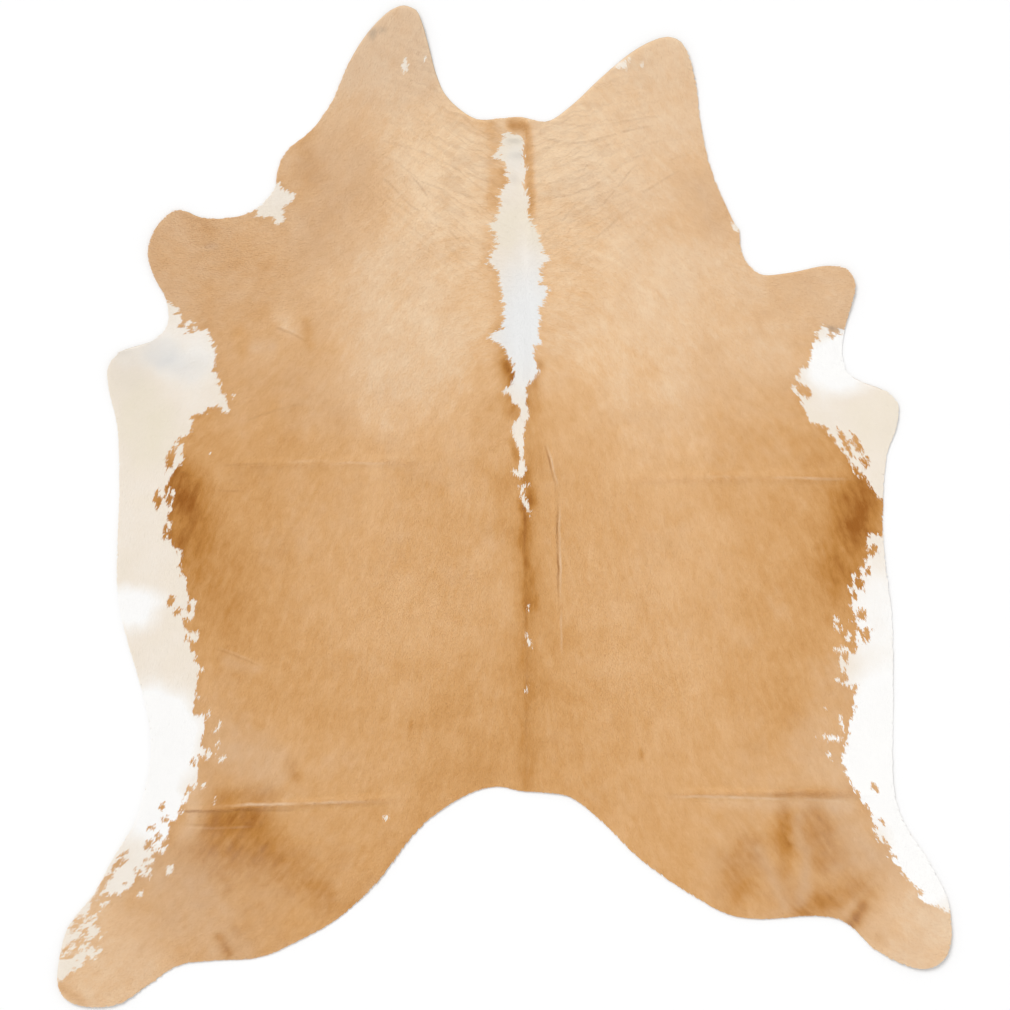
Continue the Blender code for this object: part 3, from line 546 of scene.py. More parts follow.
# The tan, as a tone from 0, dark brown, to 1, pale sand. Places give the tone over a broad area, strokes add
# to it.
coatTone = {
    "places": (  # x, y in cm, tone, dustiness, reach in cm
        (30, 88, 0.90, 0.65, 15), (16, 80, 1.00, 0.1, 10), (33, 74, 0.87, 0.45, 13), (43, 68, 0.58, 0.45, 9),
        (34, 50, 0.89, 0.45, 15), (43, 86, 0.80, 0.7, 8), (-11, 73, 0.95, 0.05, 14),
        (-21, 39, 0.89, 0.35, 15), (-41, 70, 0.65, 0.45, 13), (-23, 101, 0.85, 1.0, 12),
        (-70, 56, 0.55, 0.6, 11), (-58, 50, 0.57, 0.3, 11), (66, 46, 0.68, 0.6, 12), (52, 38, 0.78, 0.35, 14),
        (-34, -12, 0.61, 0.0, 16), (-14, -12, 0.60, 0.0, 16), (32, 2, 0.63, 0.0, 16),
        (32, -32, 0.60, -0.1, 16), (-54, 6, 0.51, 0.0, 14), (-60, -25, 0.45, -0.1, 14),
        (64, -25, 0.52, 0.0, 14), (-5, -56, 0.48, -0.1, 14), (-60, -58, 0.50, 0.1, 12),
        (-73, -86, 0.52, 0.4, 9), (-66, -90, 0.49, 0.2, 8), (-55, -84, 0.49, 0.25, 8),
        (-88, -102, 0.82, 0.5, 12), (55, -67, 0.56, 0.15, 12), (81, -82, 0.53, 0.45, 8),
        (93, -93, 0.78, 0.6, 10), (68, -79, 0.44, 0.2, 9), (21, 28, 0.80, 0.15, 14), (34, 19, 0.80, 0.4, 9),
        (14, 17, 0.57, 0.0, 9), (-3, 17, 0.55, -0.1, 7), (9, 10, 0.57, -0.1, 6), (-14, 16, 0.69, 0.0, 14),
        (-16, 4, 0.54, 0.0, 8), (60, 12, 0.54, 0.0, 14), (71, 8, 0.46, 0.0, 8), (-25, 24, 0.84, 0.35, 10),
        (-46, 27, 0.60, 0.2, 14), (-36, -48, 0.54, -0.1, 14), (-23, -57, 0.56, -0.1, 8),
        (38, -56, 0.57, -0.1, 14), (43, -21, 0.63, 0.0, 9), (20, 0, 0.58, 0.0, 8), (20, -46, 0.50, -0.1, 9),
        (-36, -82, 0.50, 0.05, 12), (-39, -70, 0.62, 0.0, 8), (-66, -38, 0.58, 0.25, 7),
        (76, -38, 0.60, 0.35, 6), (73, -53, 0.62, 0.4, 6), (-8, 52, 0.90, -0.15, 8), (17, 53, 0.88, -0.2, 8),
    ),
    "strokes": {  # startX, startY, endX, endY, half width in cm, tone and dust to add
        "left flank front": (-72.0, 6.8, -70.6, 1.4, 3.4, -0.22, -0.3),
        "left flank": (-70.4, 1.3, -71.4, -7.6, 6.0, -0.26, -0.3),
        "left flank tail": (-66.5, -8.6, -61.4, -20.7, 6.5, -0.12, -0.2),
        "right flank front": (79.0, 5.0, 77.7, -2.5, 5.0, -0.17, -0.3),
        "right flank": (76.8, 1, 74.8, -13, 6.4, -0.21, -0.3),
        "right flank tail": (73.6, -9, 72.0, -20, 6.5, -0.13, -0.2),
        "spine": (4.8, 6, 4.8, -62, 2.4, -0.08, -0.1),
        "middle of the spine": (4.7, -1, 5.2, -21, 2.1, -0.20, -0.1),
        "spine line": (4.4, 0.5, 4.6, -13, 0.9, -0.12, 0),
        "back of the spine": (4.9, -22, 4.9, -62, 1.3, -0.06, 0),
        "about the spine": (5.5, 4, 5.5, -40, 5.5, -0.07, 0),
        "right of the spine": (12, -4, 12, -32, 5.0, -0.06, 0),
        "neck end": (1.9, 83.9, 3.7, 83.7, 1.3, -0.64, 0.1),
        "blaze top left": (-2.4, 83.5, -2.2, 75.5, 1.6, -0.13, 0),
        "blaze top right": (5.1, 83.0, 5.6, 64.5, 1.0, -0.42, 0),
        "blaze notch left": (-0.6, 73.4, 0.0, 70.8, 0.9, -0.34, 0),
        "blaze left": (-2.5, 73.0, -2.7, 66.5, 1.5, -0.24, 0),
        "blaze middle left": (-1.8, 54.5, -1.6, 38.6, 1.5, -0.14, 0),
        "blaze foot left": (-0.8, 37.5, 1.6, 26.0, 1.9, -0.31, -0.2),
        "blaze foot right": (7.4, 31.0, 4.8, 22.5, 1.3, -0.38, 0),
        "blaze tail left": (1.5, 23.6, 2.7, 19.9, 1.0, -0.30, 0),
        "blaze tail left, low": (1.6, 14.2, 3.0, 10.5, 0.9, -0.28, 0),
        "blaze tail right": (6.0, 22, 6.4, 8, 1.6, -0.08, 0),
        "blaze end right": (5.0, 7.5, 5.9, 1.0, 1.2, -0.30, 0),
        "blaze end left": (3.2, 1.3, 3.8, -0.6, 0.8, -0.18, 0),
        "left thigh fold": (-63.6, -69.4, -54.5, -69.0, 3.2, -0.32, 0.0),
        "left thigh, front edge": (-67.8, -62.5, -69.5, -71.5, 2.8, 0.18, 0.35),
        "left thigh middle": (-66, -75.5, -52, -76.5, 5.8, -0.25, 0.0),
        "left thigh inner": (-51.0, -74.0, -40.5, -82, 5.0, -0.08, -0.1),
        "left thigh front": (-62, -63.9, -52, -63.2, 2.2, -0.15, 0),
        "left thigh edge": (-44, -85, -36, -88, 4, -0.08, 0), "left leg": (-74, -82, -62, -96, 7.0, 0.0, 0.3),
        "left flank foot": (-62, -52, -52, -57, 6.0, 0.06, 0.35),
        "left loin scar": (-47.6, -57.0, -45.8, -59.2, 1.4, -0.18, 0),
        "left loin tick": (-20.5, -47.6, -20.9, -51, 0.6, -0.14, 0),
        "right loin spot": (30.1, -54.6, 30.3, -55.2, 0.7, -0.22, 0),
        "left foreleg specks": (-65.2, 56.9, -63.4, 57.1, 0.7, -0.13, 0.3),
        "left foreleg spot": (-53.5, 52.9, -53.0, 52.7, 0.8, -0.14, 0),
        "left foreleg top": (-71.3, 64.6, -65.8, 62.0, 1.2, -0.10, 0),
        "left knee": (-63, -94.6, -60.6, -98.7, 1.1, -0.28, -0.2),
        "left knee front": (-59.5, -93, -58.5, -94.6, 0.8, -0.2, 0),
        "left shin": (-62.5, -81, -60.5, -84.5, 0.9, -0.16, 0),
        "left toe": (-97, -106, -93, -108.6, 1.3, -0.26, 0),
        "left ankle": (-79.5, -96.5, -80, -98.5, 0.7, -0.12, 0),
        "left scar": (-61, -34, -54, -36.2, 1.4, 0.05, 0.3),
        "left shoulder scar": (-49.5, 41.3, -46.5, 38.5, 1.8, 0.14, 0.15),
        "right thigh front": (61.4, -66.6, 61.7, -75.0, 1.9, -0.26, -0.1),
        "right thigh front, on": (62.5, -74.5, 61.4, -80, 1.6, -0.18, -0.1),
        "right thigh middle": (68.4, -67.4, 71.2, -76.0, 3.4, -0.24, 0.1),
        "right thigh inner": (54.0, -74.5, 50.8, -84.0, 4.4, -0.22, 0),
        "right thigh outer": (66.5, -88.3, 79.3, -83.9, 3.0, -0.22, -0.2),
        "right thigh edge": (76.4, -92.0, 78.6, -88.4, 1.5, -0.44, -0.2),
        "right knee": (82.1, -94.8, 83.2, -96.5, 1.0, -0.18, 0),
        # painted shadow along the right thigh's fold, laid as a darker tone
        "right thigh fold, painted shadow": (60.5, -63.4, 76.4, -62.8, 1.1, -0.20, 0),
        "under the right fold": (46, -65.2, 76, -65.8, 1.4, 0.06, 0.3),
        "right thigh pale inner": (56.0, -76.0, 61.9, -87.7, 1.9, -0.05, 0.35),
        "right thigh pale middle": (66.3, -76.0, 65.4, -86.4, 1.6, -0.03, 0.45),
        "right thigh pale front": (64.9, -68.6, 65.2, -74.0, 1.2, -0.03, 0.3),
        "right thigh pale outer": (73.7, -65.8, 79.8, -76.0, 3.0, 0.03, 0.3),
        "right thigh pale back": (70.0, -80.3, 76.5, -78.0, 1.4, -0.07, 0.15),
        "right knee pale": (74.8, -89.3, 81.4, -82.2, 0.9, 0.08, 0.2),
        "right leg": (86, -86, 95, -92, 5.0, 0.11, 0.2), "left lobe tip": (-18, 107, -16, 97, 3, 0.05, 0.3),
        "right foreleg tick": (71.6, 38.6, 74.0, 38.2, 0.9, -0.30, 0.8),
        "left neck edge": (-33, 77, -40, 62, 6.5, -0.10, 0.1),
        "blaze foot shade": (0.4, 31.2, 2.4, 26.4, 1.1, -0.38, -0.3),
        "neck end, left": (-7, 84.5, -3.5, 84.2, 2.0, -0.09, 0),
        "left of the spine": (-0.1, 5, 0.1, -6, 1.7, -0.10, 0),
        "left foreleg front": (-66, 60, -62, 54.5, 3.2, -0.08, 0),
        "right neck edge": (43.5, 70, 46, 61, 3.0, -0.07, 0.2),
        "left of the blaze": (-5.5, 62, -5.5, 42, 3.5, -0.02, -0.25),
        "left of its foot": (-5, 35, -3, 14, 3.5, -0.02, -0.2),
        "beside the shoulder scar": (-43.6, 40.6, -42.6, 35.6, 1.1, -0.11, -0.1),
        "under the shoulder scar": (-55, 35.0, -51, 34.6, 1.5, 0.06, 0.35),
        "left shoulder, outer": (-58.5, 38, -57, 35.5, 2.0, -0.07, -0.2),
        "left edge of the blaze": (-3.4, 60.0, -4.3, 51.5, 1.6, -0.10, -0.1),
        "right of its foot": (7.2, 25.6, 7.2, 21.6, 1.2, -0.15, 0),
        "left of its tail": (-0.8, 23.2, 1.0, 20.0, 1.2, -0.15, 0),
        "left neck rim": (-44.5, 81, -42, 73, 3.0, -0.17, 0),
        "left lobe, outer": (-31.5, 98, -29, 88, 3.5, -0.07, 0),
        "left ribs": (-47, 26.5, -16.5, 4.6, 3.5, -0.08, 0),
        "over the left ribs": (-28, 27, -9, 19.5, 2.8, 0.05, 0.05),
        "left of the blaze end": (-4.5, 8.8, -0.6, 5.2, 2.6, -0.11, 0),
        "right chest": (45.5, 33, 49.5, 26, 3.5, -0.08, 0),
        "behind the left flank": (-66.5, 7, -66.5, -2, 2.4, -0.09, 0),
        "left loin pale": (-45, -51, -38, -55.5, 4.0, 0.05, 0.1),
        "right loin foot": (65, -46, 66, -53, 3.5, -0.08, 0),
        "left side pale": (-35, 3, -35.5, -7, 3.2, 0.05, 0.12),
        "left back pale": (-23.5, 0, -23, -7, 2.8, 0.05, 0.08),
    },
    "farWeight": 1e-6,  # what a place still counts far away
    "wander": ((11 * mm, 50 * mm, 0), (5 * mm, 18 * mm, 2)),  # how far strokes wander: amount, size, own seed
    "wanderFrom": 4.5,  # strokes narrower than this half width in cm wander less
    "patchy": ((0.12, 28 * mm, 56), (0.14, 9 * mm, 57)),  # how unevenly strokes are laid: amount, size, seed
    "streaks": 0.030,  # streaks along the hair
    "streaksInDark": 0.05,
    "darkBelow": 0.6, "darkOver": 0.5,  # tone where the dark begins, and over what range it deepens
    "streakSize": 5 * mm, "streakLength": 40 * mm, "streakContrast": 3.0,
    "mottle": 0.046,
    "mottles": ((1.0, 60 * mm, 32), (0.7, 25 * mm, 33), (0.7, 11 * mm, 34)),
    "speckle": 0.04, "speckSize": 7 * mm,
    "darkSpeck": 0.6, "darkSpeckSize": 9 * mm,
    "dusting": ((0.14, 70 * mm, 58), (0.10, 14 * mm, 59)),  # uneven dustiness
    "rim": 0.06,  # darker hair along the white patches
    "rimReach": 10 * mm,
}


# The grid's own places, each moved a little at random, so that what is drawn on them gets an uneven form.
def wandered(seed):
    layers = [[(amount, size, own + seed + n) for amount, size, own in coatTone["wander"]] for n in (0, 1)]
    return fieldX + blotched(layers[0]), fieldY + blotched(layers[1])


# Tone and dustiness over the grid: the weighted mean of the places, w = exp(-(r/reach)^2), plus the strokes,
# amount exp(-(d/w)^2) with d the distance from the stroke's wandering line, laid patchily, plus mottling and
# streaks.
def toneFields():
    tone, dusty, total = (np.zeros(fieldX.shape) for _ in range(3))
    for x, y, value, dust, reach in coatTone["places"]:
        weight = nearness(x, y, reach) + coatTone["farWeight"]
        tone += weight * value
        dusty += weight * dust
        total += weight
    tone /= total
    dusty /= total
    wanderX, wanderY = wandered(51)
    patchy = blotched(coatTone["patchy"], 1.0)
    for startX, startY, endX, endY, halfWidth, lighter, dustier in coatTone["strokes"].values():
        runX, runY = (endX - startX) * cm, (endY - startY) * cm
        loose = min(halfWidth / coatTone["wanderFrom"], 1.0)  # narrow strokes keep to their lines
        x = fieldX + loose * (wanderX - fieldX) - startX * cm
        y = fieldY + loose * (wanderY - fieldY) - startY * cm
        t = np.clip((x * runX + y * runY) / (runX ** 2 + runY ** 2), 0.0, 1.0)
        share = patchy * np.exp(-((x - t * runX) ** 2 + (y - t * runY) ** 2) / (halfWidth * cm) ** 2)
        tone += lighter * share
        dusty += dustier * share
    tone -= coatTone["rim"] * np.exp(-(np.minimum(patchField, 0.0) / coatTone["rimReach"]) ** 2)
    dark = softStep((coatTone["darkBelow"] - tone) / coatTone["darkOver"])
    strands = blotches(coatTone["streakSize"], 31)
    streak = combed(strands, coatTone["streakLength"]) * coatTone["streakContrast"]
    mottle = blotched(coatTone["mottles"])
    tone += coatTone["mottle"] * mottle + (coatTone["streaks"] + coatTone["streaksInDark"] * dark) * streak
    darkSpecks = np.minimum(blotches(coatTone["darkSpeckSize"], 36), 0.0)
    tone += coatTone["speckle"] * (blotches(coatTone["speckSize"], 35) + coatTone["darkSpeck"] * darkSpecks)
    dusty += blotched(coatTone["dusting"])
    return tone, np.clip(dusty, 0.0, 1.0)


toneField, dustField = toneFields()
onHide = toneField[edgeDepth > 0]
print("tone from", round(float(onHide.min()), 2), "to", round(float(onHide.max()), 2))


# The white hair's shade, from 0, cream yellow, to 1, clear white, and how far it turns to a cool grey.
whiteShade = {
    "base": 0.40,
    "shades": (  # x, y, reach along x and along y in cm, amount
        (2, 79, 6, 5, -0.10), (4, 61, 8, 5.5, -0.16), (-82, -22, 8, 4.5, 0.7), (-79, -52, 12, 11.5, 1.2),
        (-76, -68, 9, 7, 0.7), (-84, -80, 6, 6, 0.15), (84, -25, 9, 14, 0.5), (84, -54, 12, 16, 1.1),
        (93, -78, 10, 12, 0.8), (-79, 19, 7, 10, -0.2), (81, 20, 6, 6, -0.12), (72, 32, 7, 7, 0.75),
        (-71, 33, 9, 9, 0.2), (78, 27, 4, 4, 0.2),
    ),
    "cools": ((4.6, 39.5, 8, 15.0, 1.0), (-75.0, 34.0, 4.0, 3.2, 0.25), (-70, 31.0, 6.0, 4.6, 0.35),
              (-80, 34, 9, 3.5, 0.2), (2.5, 76, 3, 3, 0.3)),
    "greys": (  # where dirt and the skin below grey the hair
        (-75.6, 34.0, 4.0, 3.0, 0.09), (-72.6, 31.4, 4.0, 3.0, 0.07), (-68.9, 29.2, 4.0, 3.0, 0.05),
        (-82.5, 30.0, 6.0, 5.0, 0.05), (-79.0, 19.0, 7.0, 9.0, 0.02),
        (-84.5, 33.5, 3.0, 1.2, 0.07), (1.9, 80.3, 1.8, 1.1, 0.22), (3.4, 76.0, 1.0, 0.8, 0.16),
        (1.6, 76.4, 1.2, 0.8, 0.10), (2.3, 71.5, 1.0, 1.2, 0.12), (-29.0, 103.2, 1.2, 1.5, 0.30),
        (-26.6, 104.8, 1.6, 0.8, 0.30), (71.4, 38.6, 0.9, 0.8, 0.35), (73.2, 38.4, 0.8, 0.6, 0.25),
    ),
    "blotches": ((0.06, 30 * mm, 41),),  # amount, size, seed
}


# Sum of amount exp(-((dx/a)^2 + (dy/b)^2)^2), flat in the middle of each place.
def plateaus(places):
    total = np.zeros(fieldX.shape)
    wanderX, wanderY = wandered(61)
    for x, y, reachX, reachY, amount in places:
        squared = ((wanderX - x * cm) / (reachX * cm)) ** 2 + ((wanderY - y * cm) / (reachY * cm)) ** 2
        total += amount * np.exp(-squared ** 2)
    return total


shadeField = whiteShade["base"] + plateaus(whiteShade["shades"]) + blotched(whiteShade["blotches"])
coolField = np.clip(plateaus(whiteShade["cools"]), 0.0, 1.0)
greyField = np.clip(plateaus(whiteShade["greys"]), 0.0, 1.0)


# Fine wrinkles across the neck, both sides of the blaze. Seen from the blaze they rise outwards, more steeply
# further back: with s the distance from the blaze and q the distance back from the neck's edge, a wrinkle is
# a line of equal (q + a s) / (1 - b s).
wrinkleLines = {
    "middleX": 3.0,
    "topY": 85.0,
    "slope": {"left": 0.24, "right": 0.05},
    "fan": 1.15,  # how fast they turn, for each metre
    "fanHeld": 0.4,  # metres from the blaze beyond which they turn no more
    "deepest": 6.0,  # how far back from the edge they are deepest
    "reachAside": 36.0, "fallAside": 1.2,
    "reachBack": 40.0, "fallBack": 1.3,
    "full": 1.4,  # over 1, so that they keep their full depth up to some way out
}


# Distance out from the blaze, the wrinkle's own number across, and how deep the wrinkles are:
# S(full - fall s/reach) S(full - fall |q - deepest|/reach), S being the soft step.
def wrinkleFields():
    side = fieldX - wrinkleLines["middleX"] * cm
    aside = np.abs(side)
    back = wrinkleLines["topY"] * cm - fieldY
    slope = np.where(side < 0, wrinkleLines["slope"]["left"], wrinkleLines["slope"]["right"])
    across = (back + slope * aside) / (1.0 - wrinkleLines["fan"] * np.minimum(aside, wrinkleLines["fanHeld"]))
    full, off = wrinkleLines["full"], np.abs(back - wrinkleLines["deepest"] * cm)
    depth = softStep(full - aside / (wrinkleLines["reachAside"] * cm) * wrinkleLines["fallAside"])
    depth *= softStep(full - off / (wrinkleLines["reachBack"] * cm) * wrinkleLines["fallBack"])
    return side, across, depth


def addVectors(mesh, name, rows):
    attribute = mesh.attributes.new(name, "FLOAT_VECTOR", "POINT")
    attribute.data.foreach_set("vector", rows.astype(np.float32).ravel())


paintFields = {
    "cast": (dustField, coolField, greyField),
    "wrinkle": wrinkleFields(),
}


# Every point's attributes, read by the materials: coat is tone, white and shade; cast is dust, coolness and
# grey; wrinkle and crease are what their node groups read.
def paint(mesh, x, y, white, lighter, crease):
    tone, shade = valueAt(toneField, x, y) + lighter, valueAt(shadeField, x, y) + lighter
    addVectors(mesh, "coat", np.column_stack([tone, white, shade]))
    for name, fields in paintFields.items():
        addVectors(mesh, name, np.column_stack([valueAt(field, x, y) for field in fields]))
    addVectors(mesh, "crease", crease)


# A mesh object from whole arrays: points, faces of one size, a material number for each face and a map.
def meshPiece(name, points, faces, materials, slots=None, bakeMap=None):
    mesh = bpy.data.meshes.new(name)
    corners = faces.shape[1]
    mesh.vertices.add(len(points))
    mesh.vertices.foreach_set("co", points.astype(np.float32).ravel())
    mesh.loops.add(faces.size)
    mesh.loops.foreach_set("vertex_index", faces.astype(np.int32).ravel())
    mesh.polygons.add(len(faces))
    mesh.polygons.foreach_set("loop_start", np.arange(0, faces.size, corners, dtype=np.int32))
    mesh.update(calc_edges=True)
    mesh.shade_smooth()
    for material in materials:
        mesh.materials.append(material)
    if slots is not None:
        mesh.polygons.foreach_set("material_index", slots.astype(np.int32))
    if bakeMap is not None:
        layer = mesh.uv_layers.new(name="OFBake")
        layer.data.foreach_set("uv", bakeMap[faces.ravel()].astype(np.float32).ravel())
    piece = bpy.data.objects.new(name, mesh)
    bpy.context.scene.collection.objects.link(piece)
    return piece


# A colour given as it looks, 0 to 255, as Blender's linear one: ((c/255 + 0.055) / 1.055)^2.4.
def linear(red, green, blue):
    return [((c / 255 + 0.055) / 1.055) ** 2.4 for c in (red, green, blue)] + [1.0]


# A node with its settings, and its inputs as values or as sockets to link from.
def addNode(tree, kind, inputs=None, **settings):
    node = tree.nodes.new(kind)
    for name, value in settings.items():
        setattr(node, name, value)
    for name, value in (inputs or {}).items():
        if isinstance(value, bpy.types.NodeSocket):
            tree.links.new(value, node.inputs[name])
        else:
            node.inputs[name].default_value = value
    return node


def maths(tree, operation, a, b=0.0, c=0.0, clamp=False):
    inputs = {0: a, 1: b, 2: c}
    return addNode(tree, "ShaderNodeMath", inputs, operation=operation, use_clamp=clamp).outputs[0]


def mixColors(tree, share, a, b):
    return addNode(tree, "ShaderNodeMix", {0: share, 6: a, 7: b}, data_type="RGBA").outputs[2]


def mapRange(tree, value, low, high):
    inputs = {"Value": value, "To Min": low, "To Max": high}
    return addNode(tree, "ShaderNodeMapRange", inputs).outputs["Result"]


# A vector's parts, as the sockets X, Y and Z.
def split(tree, vector):
    return addNode(tree, "ShaderNodeSeparateXYZ", {"Vector": vector}).outputs


def joined(tree, x, y, z=0.0):
    return addNode(tree, "ShaderNodeCombineXYZ", {"X": x, "Y": y, "Z": z}).outputs["Vector"]


def noise(tree, vector, scale, detail=2.0, roughness=0.5):
    inputs = {"Vector": vector, "Scale": scale, "Detail": detail, "Roughness": roughness}
    return addNode(tree, "ShaderNodeTexNoise", inputs).outputs["Fac"]


def named(tree, name, output="Vector"):
    return addNode(tree, "ShaderNodeAttribute", attribute_name=name).outputs[output]


# Stops are (place, colour), from place 0 to place 1.
def colorRamp(tree, factor, stops):
    node = addNode(tree, "ShaderNodeValToRGB", {"Fac": factor})
    elements = node.color_ramp.elements
    for place, _ in stops[1:-1]:
        elements.new(place)
    for element, (_, color) in zip(elements, stops):
        element.color = linear(*color)
    return node.outputs["Color"]


# A shader node group with named sockets, each given as (name, kind) or (name, kind, value); what is given to
# it and what comes out of it.
def newGroup(name, inputs, outputs):
    group = bpy.data.node_groups.new(name, "ShaderNodeTree")
    for rows, way in ((inputs, "INPUT"), (outputs, "OUTPUT")):
        for row in rows:
            socket = group.interface.new_socket(row[0], in_out=way, socket_type="NodeSocket" + row[1])
            if len(row) > 2:
                socket.default_value = row[2]
    return group, group.nodes.new("NodeGroupInput").outputs, group.nodes.new("NodeGroupOutput").inputs


coatColors = {
    "tan": (
        (0.0, (162, 97, 26)), (0.25, (197, 137, 67)), (0.5, (217, 165, 106)),
        (0.75, (233, 189, 139)), (1.0, (248, 219, 182)),
    ),
    "dust": (224, 200, 174),
    "dustShare": 0.55,
    "white": ((0.0, (239, 229, 206)), (0.4, (243, 232, 217)), (1.0, (254, 253, 251))),
    "cool": (238, 238, 237),
    "grey": (120, 118, 116),
    # painted shade: the colour that wrinkle valleys, crease shadows and the gaps between locks are darkened
    # towards
    "deep": (138, 77, 26),  # what valleys and gaps are shaded with
    # painted highlight: the colour that the lit top of a fold is lightened towards
    "pale": (250, 232, 206),  # what the top of a fold is lightened with
}


# Numbers inside the node groups; those that a material may set are the groups' own sockets.
groupNumbers = {
    "strandDetail": 2.0, "strandRoughness": 0.6,
    "strandSharpness": 1.5,  # power that thins the ridges between strands
    "valleyDetail": 1.0,
    "wanderScale": 28.0,
    "fineSharpness": 9.0, "broadSharpness": 16.0,
    "fineShare": 0.45,  # how deep the fine valleys are beside the broad ones
    "grainDetail": 4.0, "grainRoughness": 0.65,
    "coarseScale": 0.08, "coarseDetail": 3.0,
    "grainShares": (0.6, 0.4),  # of fine noise and of coarse cells
}


# Colour of the hair from its attributes: the tan ramp by tone, dusted towards a greyer tan, and the white
# ramp by shade, cooled, mixed by the share of white and greyed. Streak, from 0 to 1, lightens and darkens it.
def tintGroup():
    group, given, out = newGroup(
        "hairTint",
        [("Coat", "Vector"), ("Cast", "Vector"), ("Streak", "Float", 0.5), ("Spread", "Float", 0.1)],
        [("Color", "Color"), ("Tan", "Float")],
    )
    parts = split(group, given["Coat"])
    casts = split(group, given["Cast"])
    middle = maths(group, "SUBTRACT", given["Streak"], 0.5)
    sway = maths(group, "MULTIPLY", middle, given["Spread"])
    tan = colorRamp(group, maths(group, "ADD", parts["X"], sway), coatColors["tan"])
    share = maths(group, "MULTIPLY", casts["X"], coatColors["dustShare"], clamp=True)
    dusted = mixColors(group, share, tan, linear(*coatColors["dust"]))
    white = colorRamp(group, maths(group, "ADD", parts["Z"], sway), coatColors["white"])
    cooled = mixColors(group, casts["Y"], white, linear(*coatColors["cool"]))
    clean = mixColors(group, parts["Y"], dusted, cooled)
    group.links.new(mixColors(group, casts["Z"], clean, linear(*coatColors["grey"])), out["Color"])
    group.links.new(maths(group, "SUBTRACT", 1.0, parts["Y"]), out["Tan"])
    return group


# Single hairs within a lock: noise drawn out along the lock. Strand is across the lock, along it, and the
# lock's own number.
def strandGroup():
    group, given, out = newGroup(
        "hairStrands",
        [("Strand", "Vector"), ("Across", "Float", 5.0), ("Along", "Float", 1.0)],
        [("Streak", "Float"), ("Height", "Float")],
    )
    parts = split(group, given["Strand"])
    across = maths(group, "MULTIPLY", parts["X"], given["Across"])
    along = maths(group, "MULTIPLY", parts["Y"], given["Along"])
    place = joined(group, across, along, parts["Z"])
    streak = noise(group, place, 1.0, groupNumbers["strandDetail"], groupNumbers["strandRoughness"])
    group.links.new(streak, out["Streak"])
    group.links.new(maths(group, "POWER", streak, groupNumbers["strandSharpness"]), out["Height"])
    return group


# Lines where a noise drawn out along one direction crosses its middle: 1 - |noise - 0.5| sharpness.
def valleys(tree, along, across, sharpness):
    bands = noise(tree, joined(tree, along, across), 1.0, groupNumbers["valleyDetail"])
    ridged = maths(tree, "ABSOLUTE", maths(tree, "SUBTRACT", bands, 0.5))
    return maths(tree, "SUBTRACT", 1.0, maths(tree, "MULTIPLY", ridged, sharpness), clamp=True)


# Neck wrinkles: many fine valleys and, at a slant to them, a few broader ones.
def wrinkleGroup():
    group, given, out = newGroup(
        "neckWrinkles",
        [("Wrinkle", "Vector"), ("Fine", "Float", 95.0), ("Broad", "Float", 36.0),
         ("Length", "Float", 0.2), ("Slant", "Float", 0.2), ("Wander", "Float", 0.03)],
        [("Valley", "Float"), ("Height", "Float")],
    )
    parts = split(group, given["Wrinkle"])
    length = given["Length"]
    loose = maths(group, "SUBTRACT", noise(group, given["Wrinkle"], groupNumbers["wanderScale"]), 0.5)
    wandering = maths(group, "MULTIPLY_ADD", loose, given["Wander"], parts["Y"])
    fineAlong = maths(group, "MULTIPLY", parts["X"], maths(group, "MULTIPLY", given["Fine"], length))
    fineAcross = maths(group, "MULTIPLY", wandering, given["Fine"])
    fine = valleys(group, fineAlong, fineAcross, groupNumbers["fineSharpness"])
    aside = maths(group, "ABSOLUTE", parts["X"])
    slanted = maths(group, "MULTIPLY_ADD", aside, given["Slant"], wandering)
    broadAlong = maths(group, "MULTIPLY", parts["X"], maths(group, "MULTIPLY", given["Broad"], length))
    broadAcross = maths(group, "MULTIPLY", slanted, given["Broad"])
    broad = valleys(group, broadAlong, broadAcross, groupNumbers["broadSharpness"])
    both = maths(group, "MULTIPLY_ADD", fine, groupNumbers["fineShare"], broad, clamp=True)
    valley = maths(group, "MULTIPLY", both, parts["Z"])
    # the valley is how much painted shade a wrinkle gets; the height is its bump
    group.links.new(valley, out["Valley"])
    group.links.new(maths(group, "MULTIPLY", valley, -1.0), out["Height"])
    return group


# A bell across a line, (1 - d^2)^2 with d the distance in half widths, nothing beyond it.
def bell(tree, distance):
    left = maths(tree, "SUBTRACT", 1.0, maths(tree, "MULTIPLY", distance, distance), clamp=True)
    return maths(tree, "MULTIPLY", left, left)


# The painted highlight and painted shadow on a crease: fine lines, with a second one of the other kind beside
# them. Crease is the distance aside, the strength, pale above 0 and dark below, and how far aside the second
# line lies, distances in half widths.
def creaseGroup():
    group, given, out = newGroup(
        "creaseLines",
        [("Crease", "Vector"), ("Second", "Float", 0.6)],
        [("Pale", "Float"), ("Dark", "Float"), ("Height", "Float")],
    )
    parts = split(group, given["Crease"])
    onLine = bell(group, parts["X"])
    beside = bell(group, maths(group, "SUBTRACT", parts["X"], parts["Z"]))
    highlightMark = maths(group, "MAXIMUM", parts["Y"], 0.0)
    shadowMark = maths(group, "MAXIMUM", maths(group, "MULTIPLY", parts["Y"], -1.0), 0.0)
    second = given["Second"]
    pale = maths(group, "MULTIPLY_ADD", maths(group, "MULTIPLY", shadowMark, second), beside,
                 maths(group, "MULTIPLY", highlightMark, onLine))
    dark = maths(group, "MULTIPLY_ADD", maths(group, "MULTIPLY", highlightMark, second), beside,
                 maths(group, "MULTIPLY", shadowMark, onLine))
    group.links.new(pale, out["Pale"])
    group.links.new(dark, out["Dark"])
    group.links.new(maths(group, "MULTIPLY", parts["Y"], onLine), out["Height"])
    return group


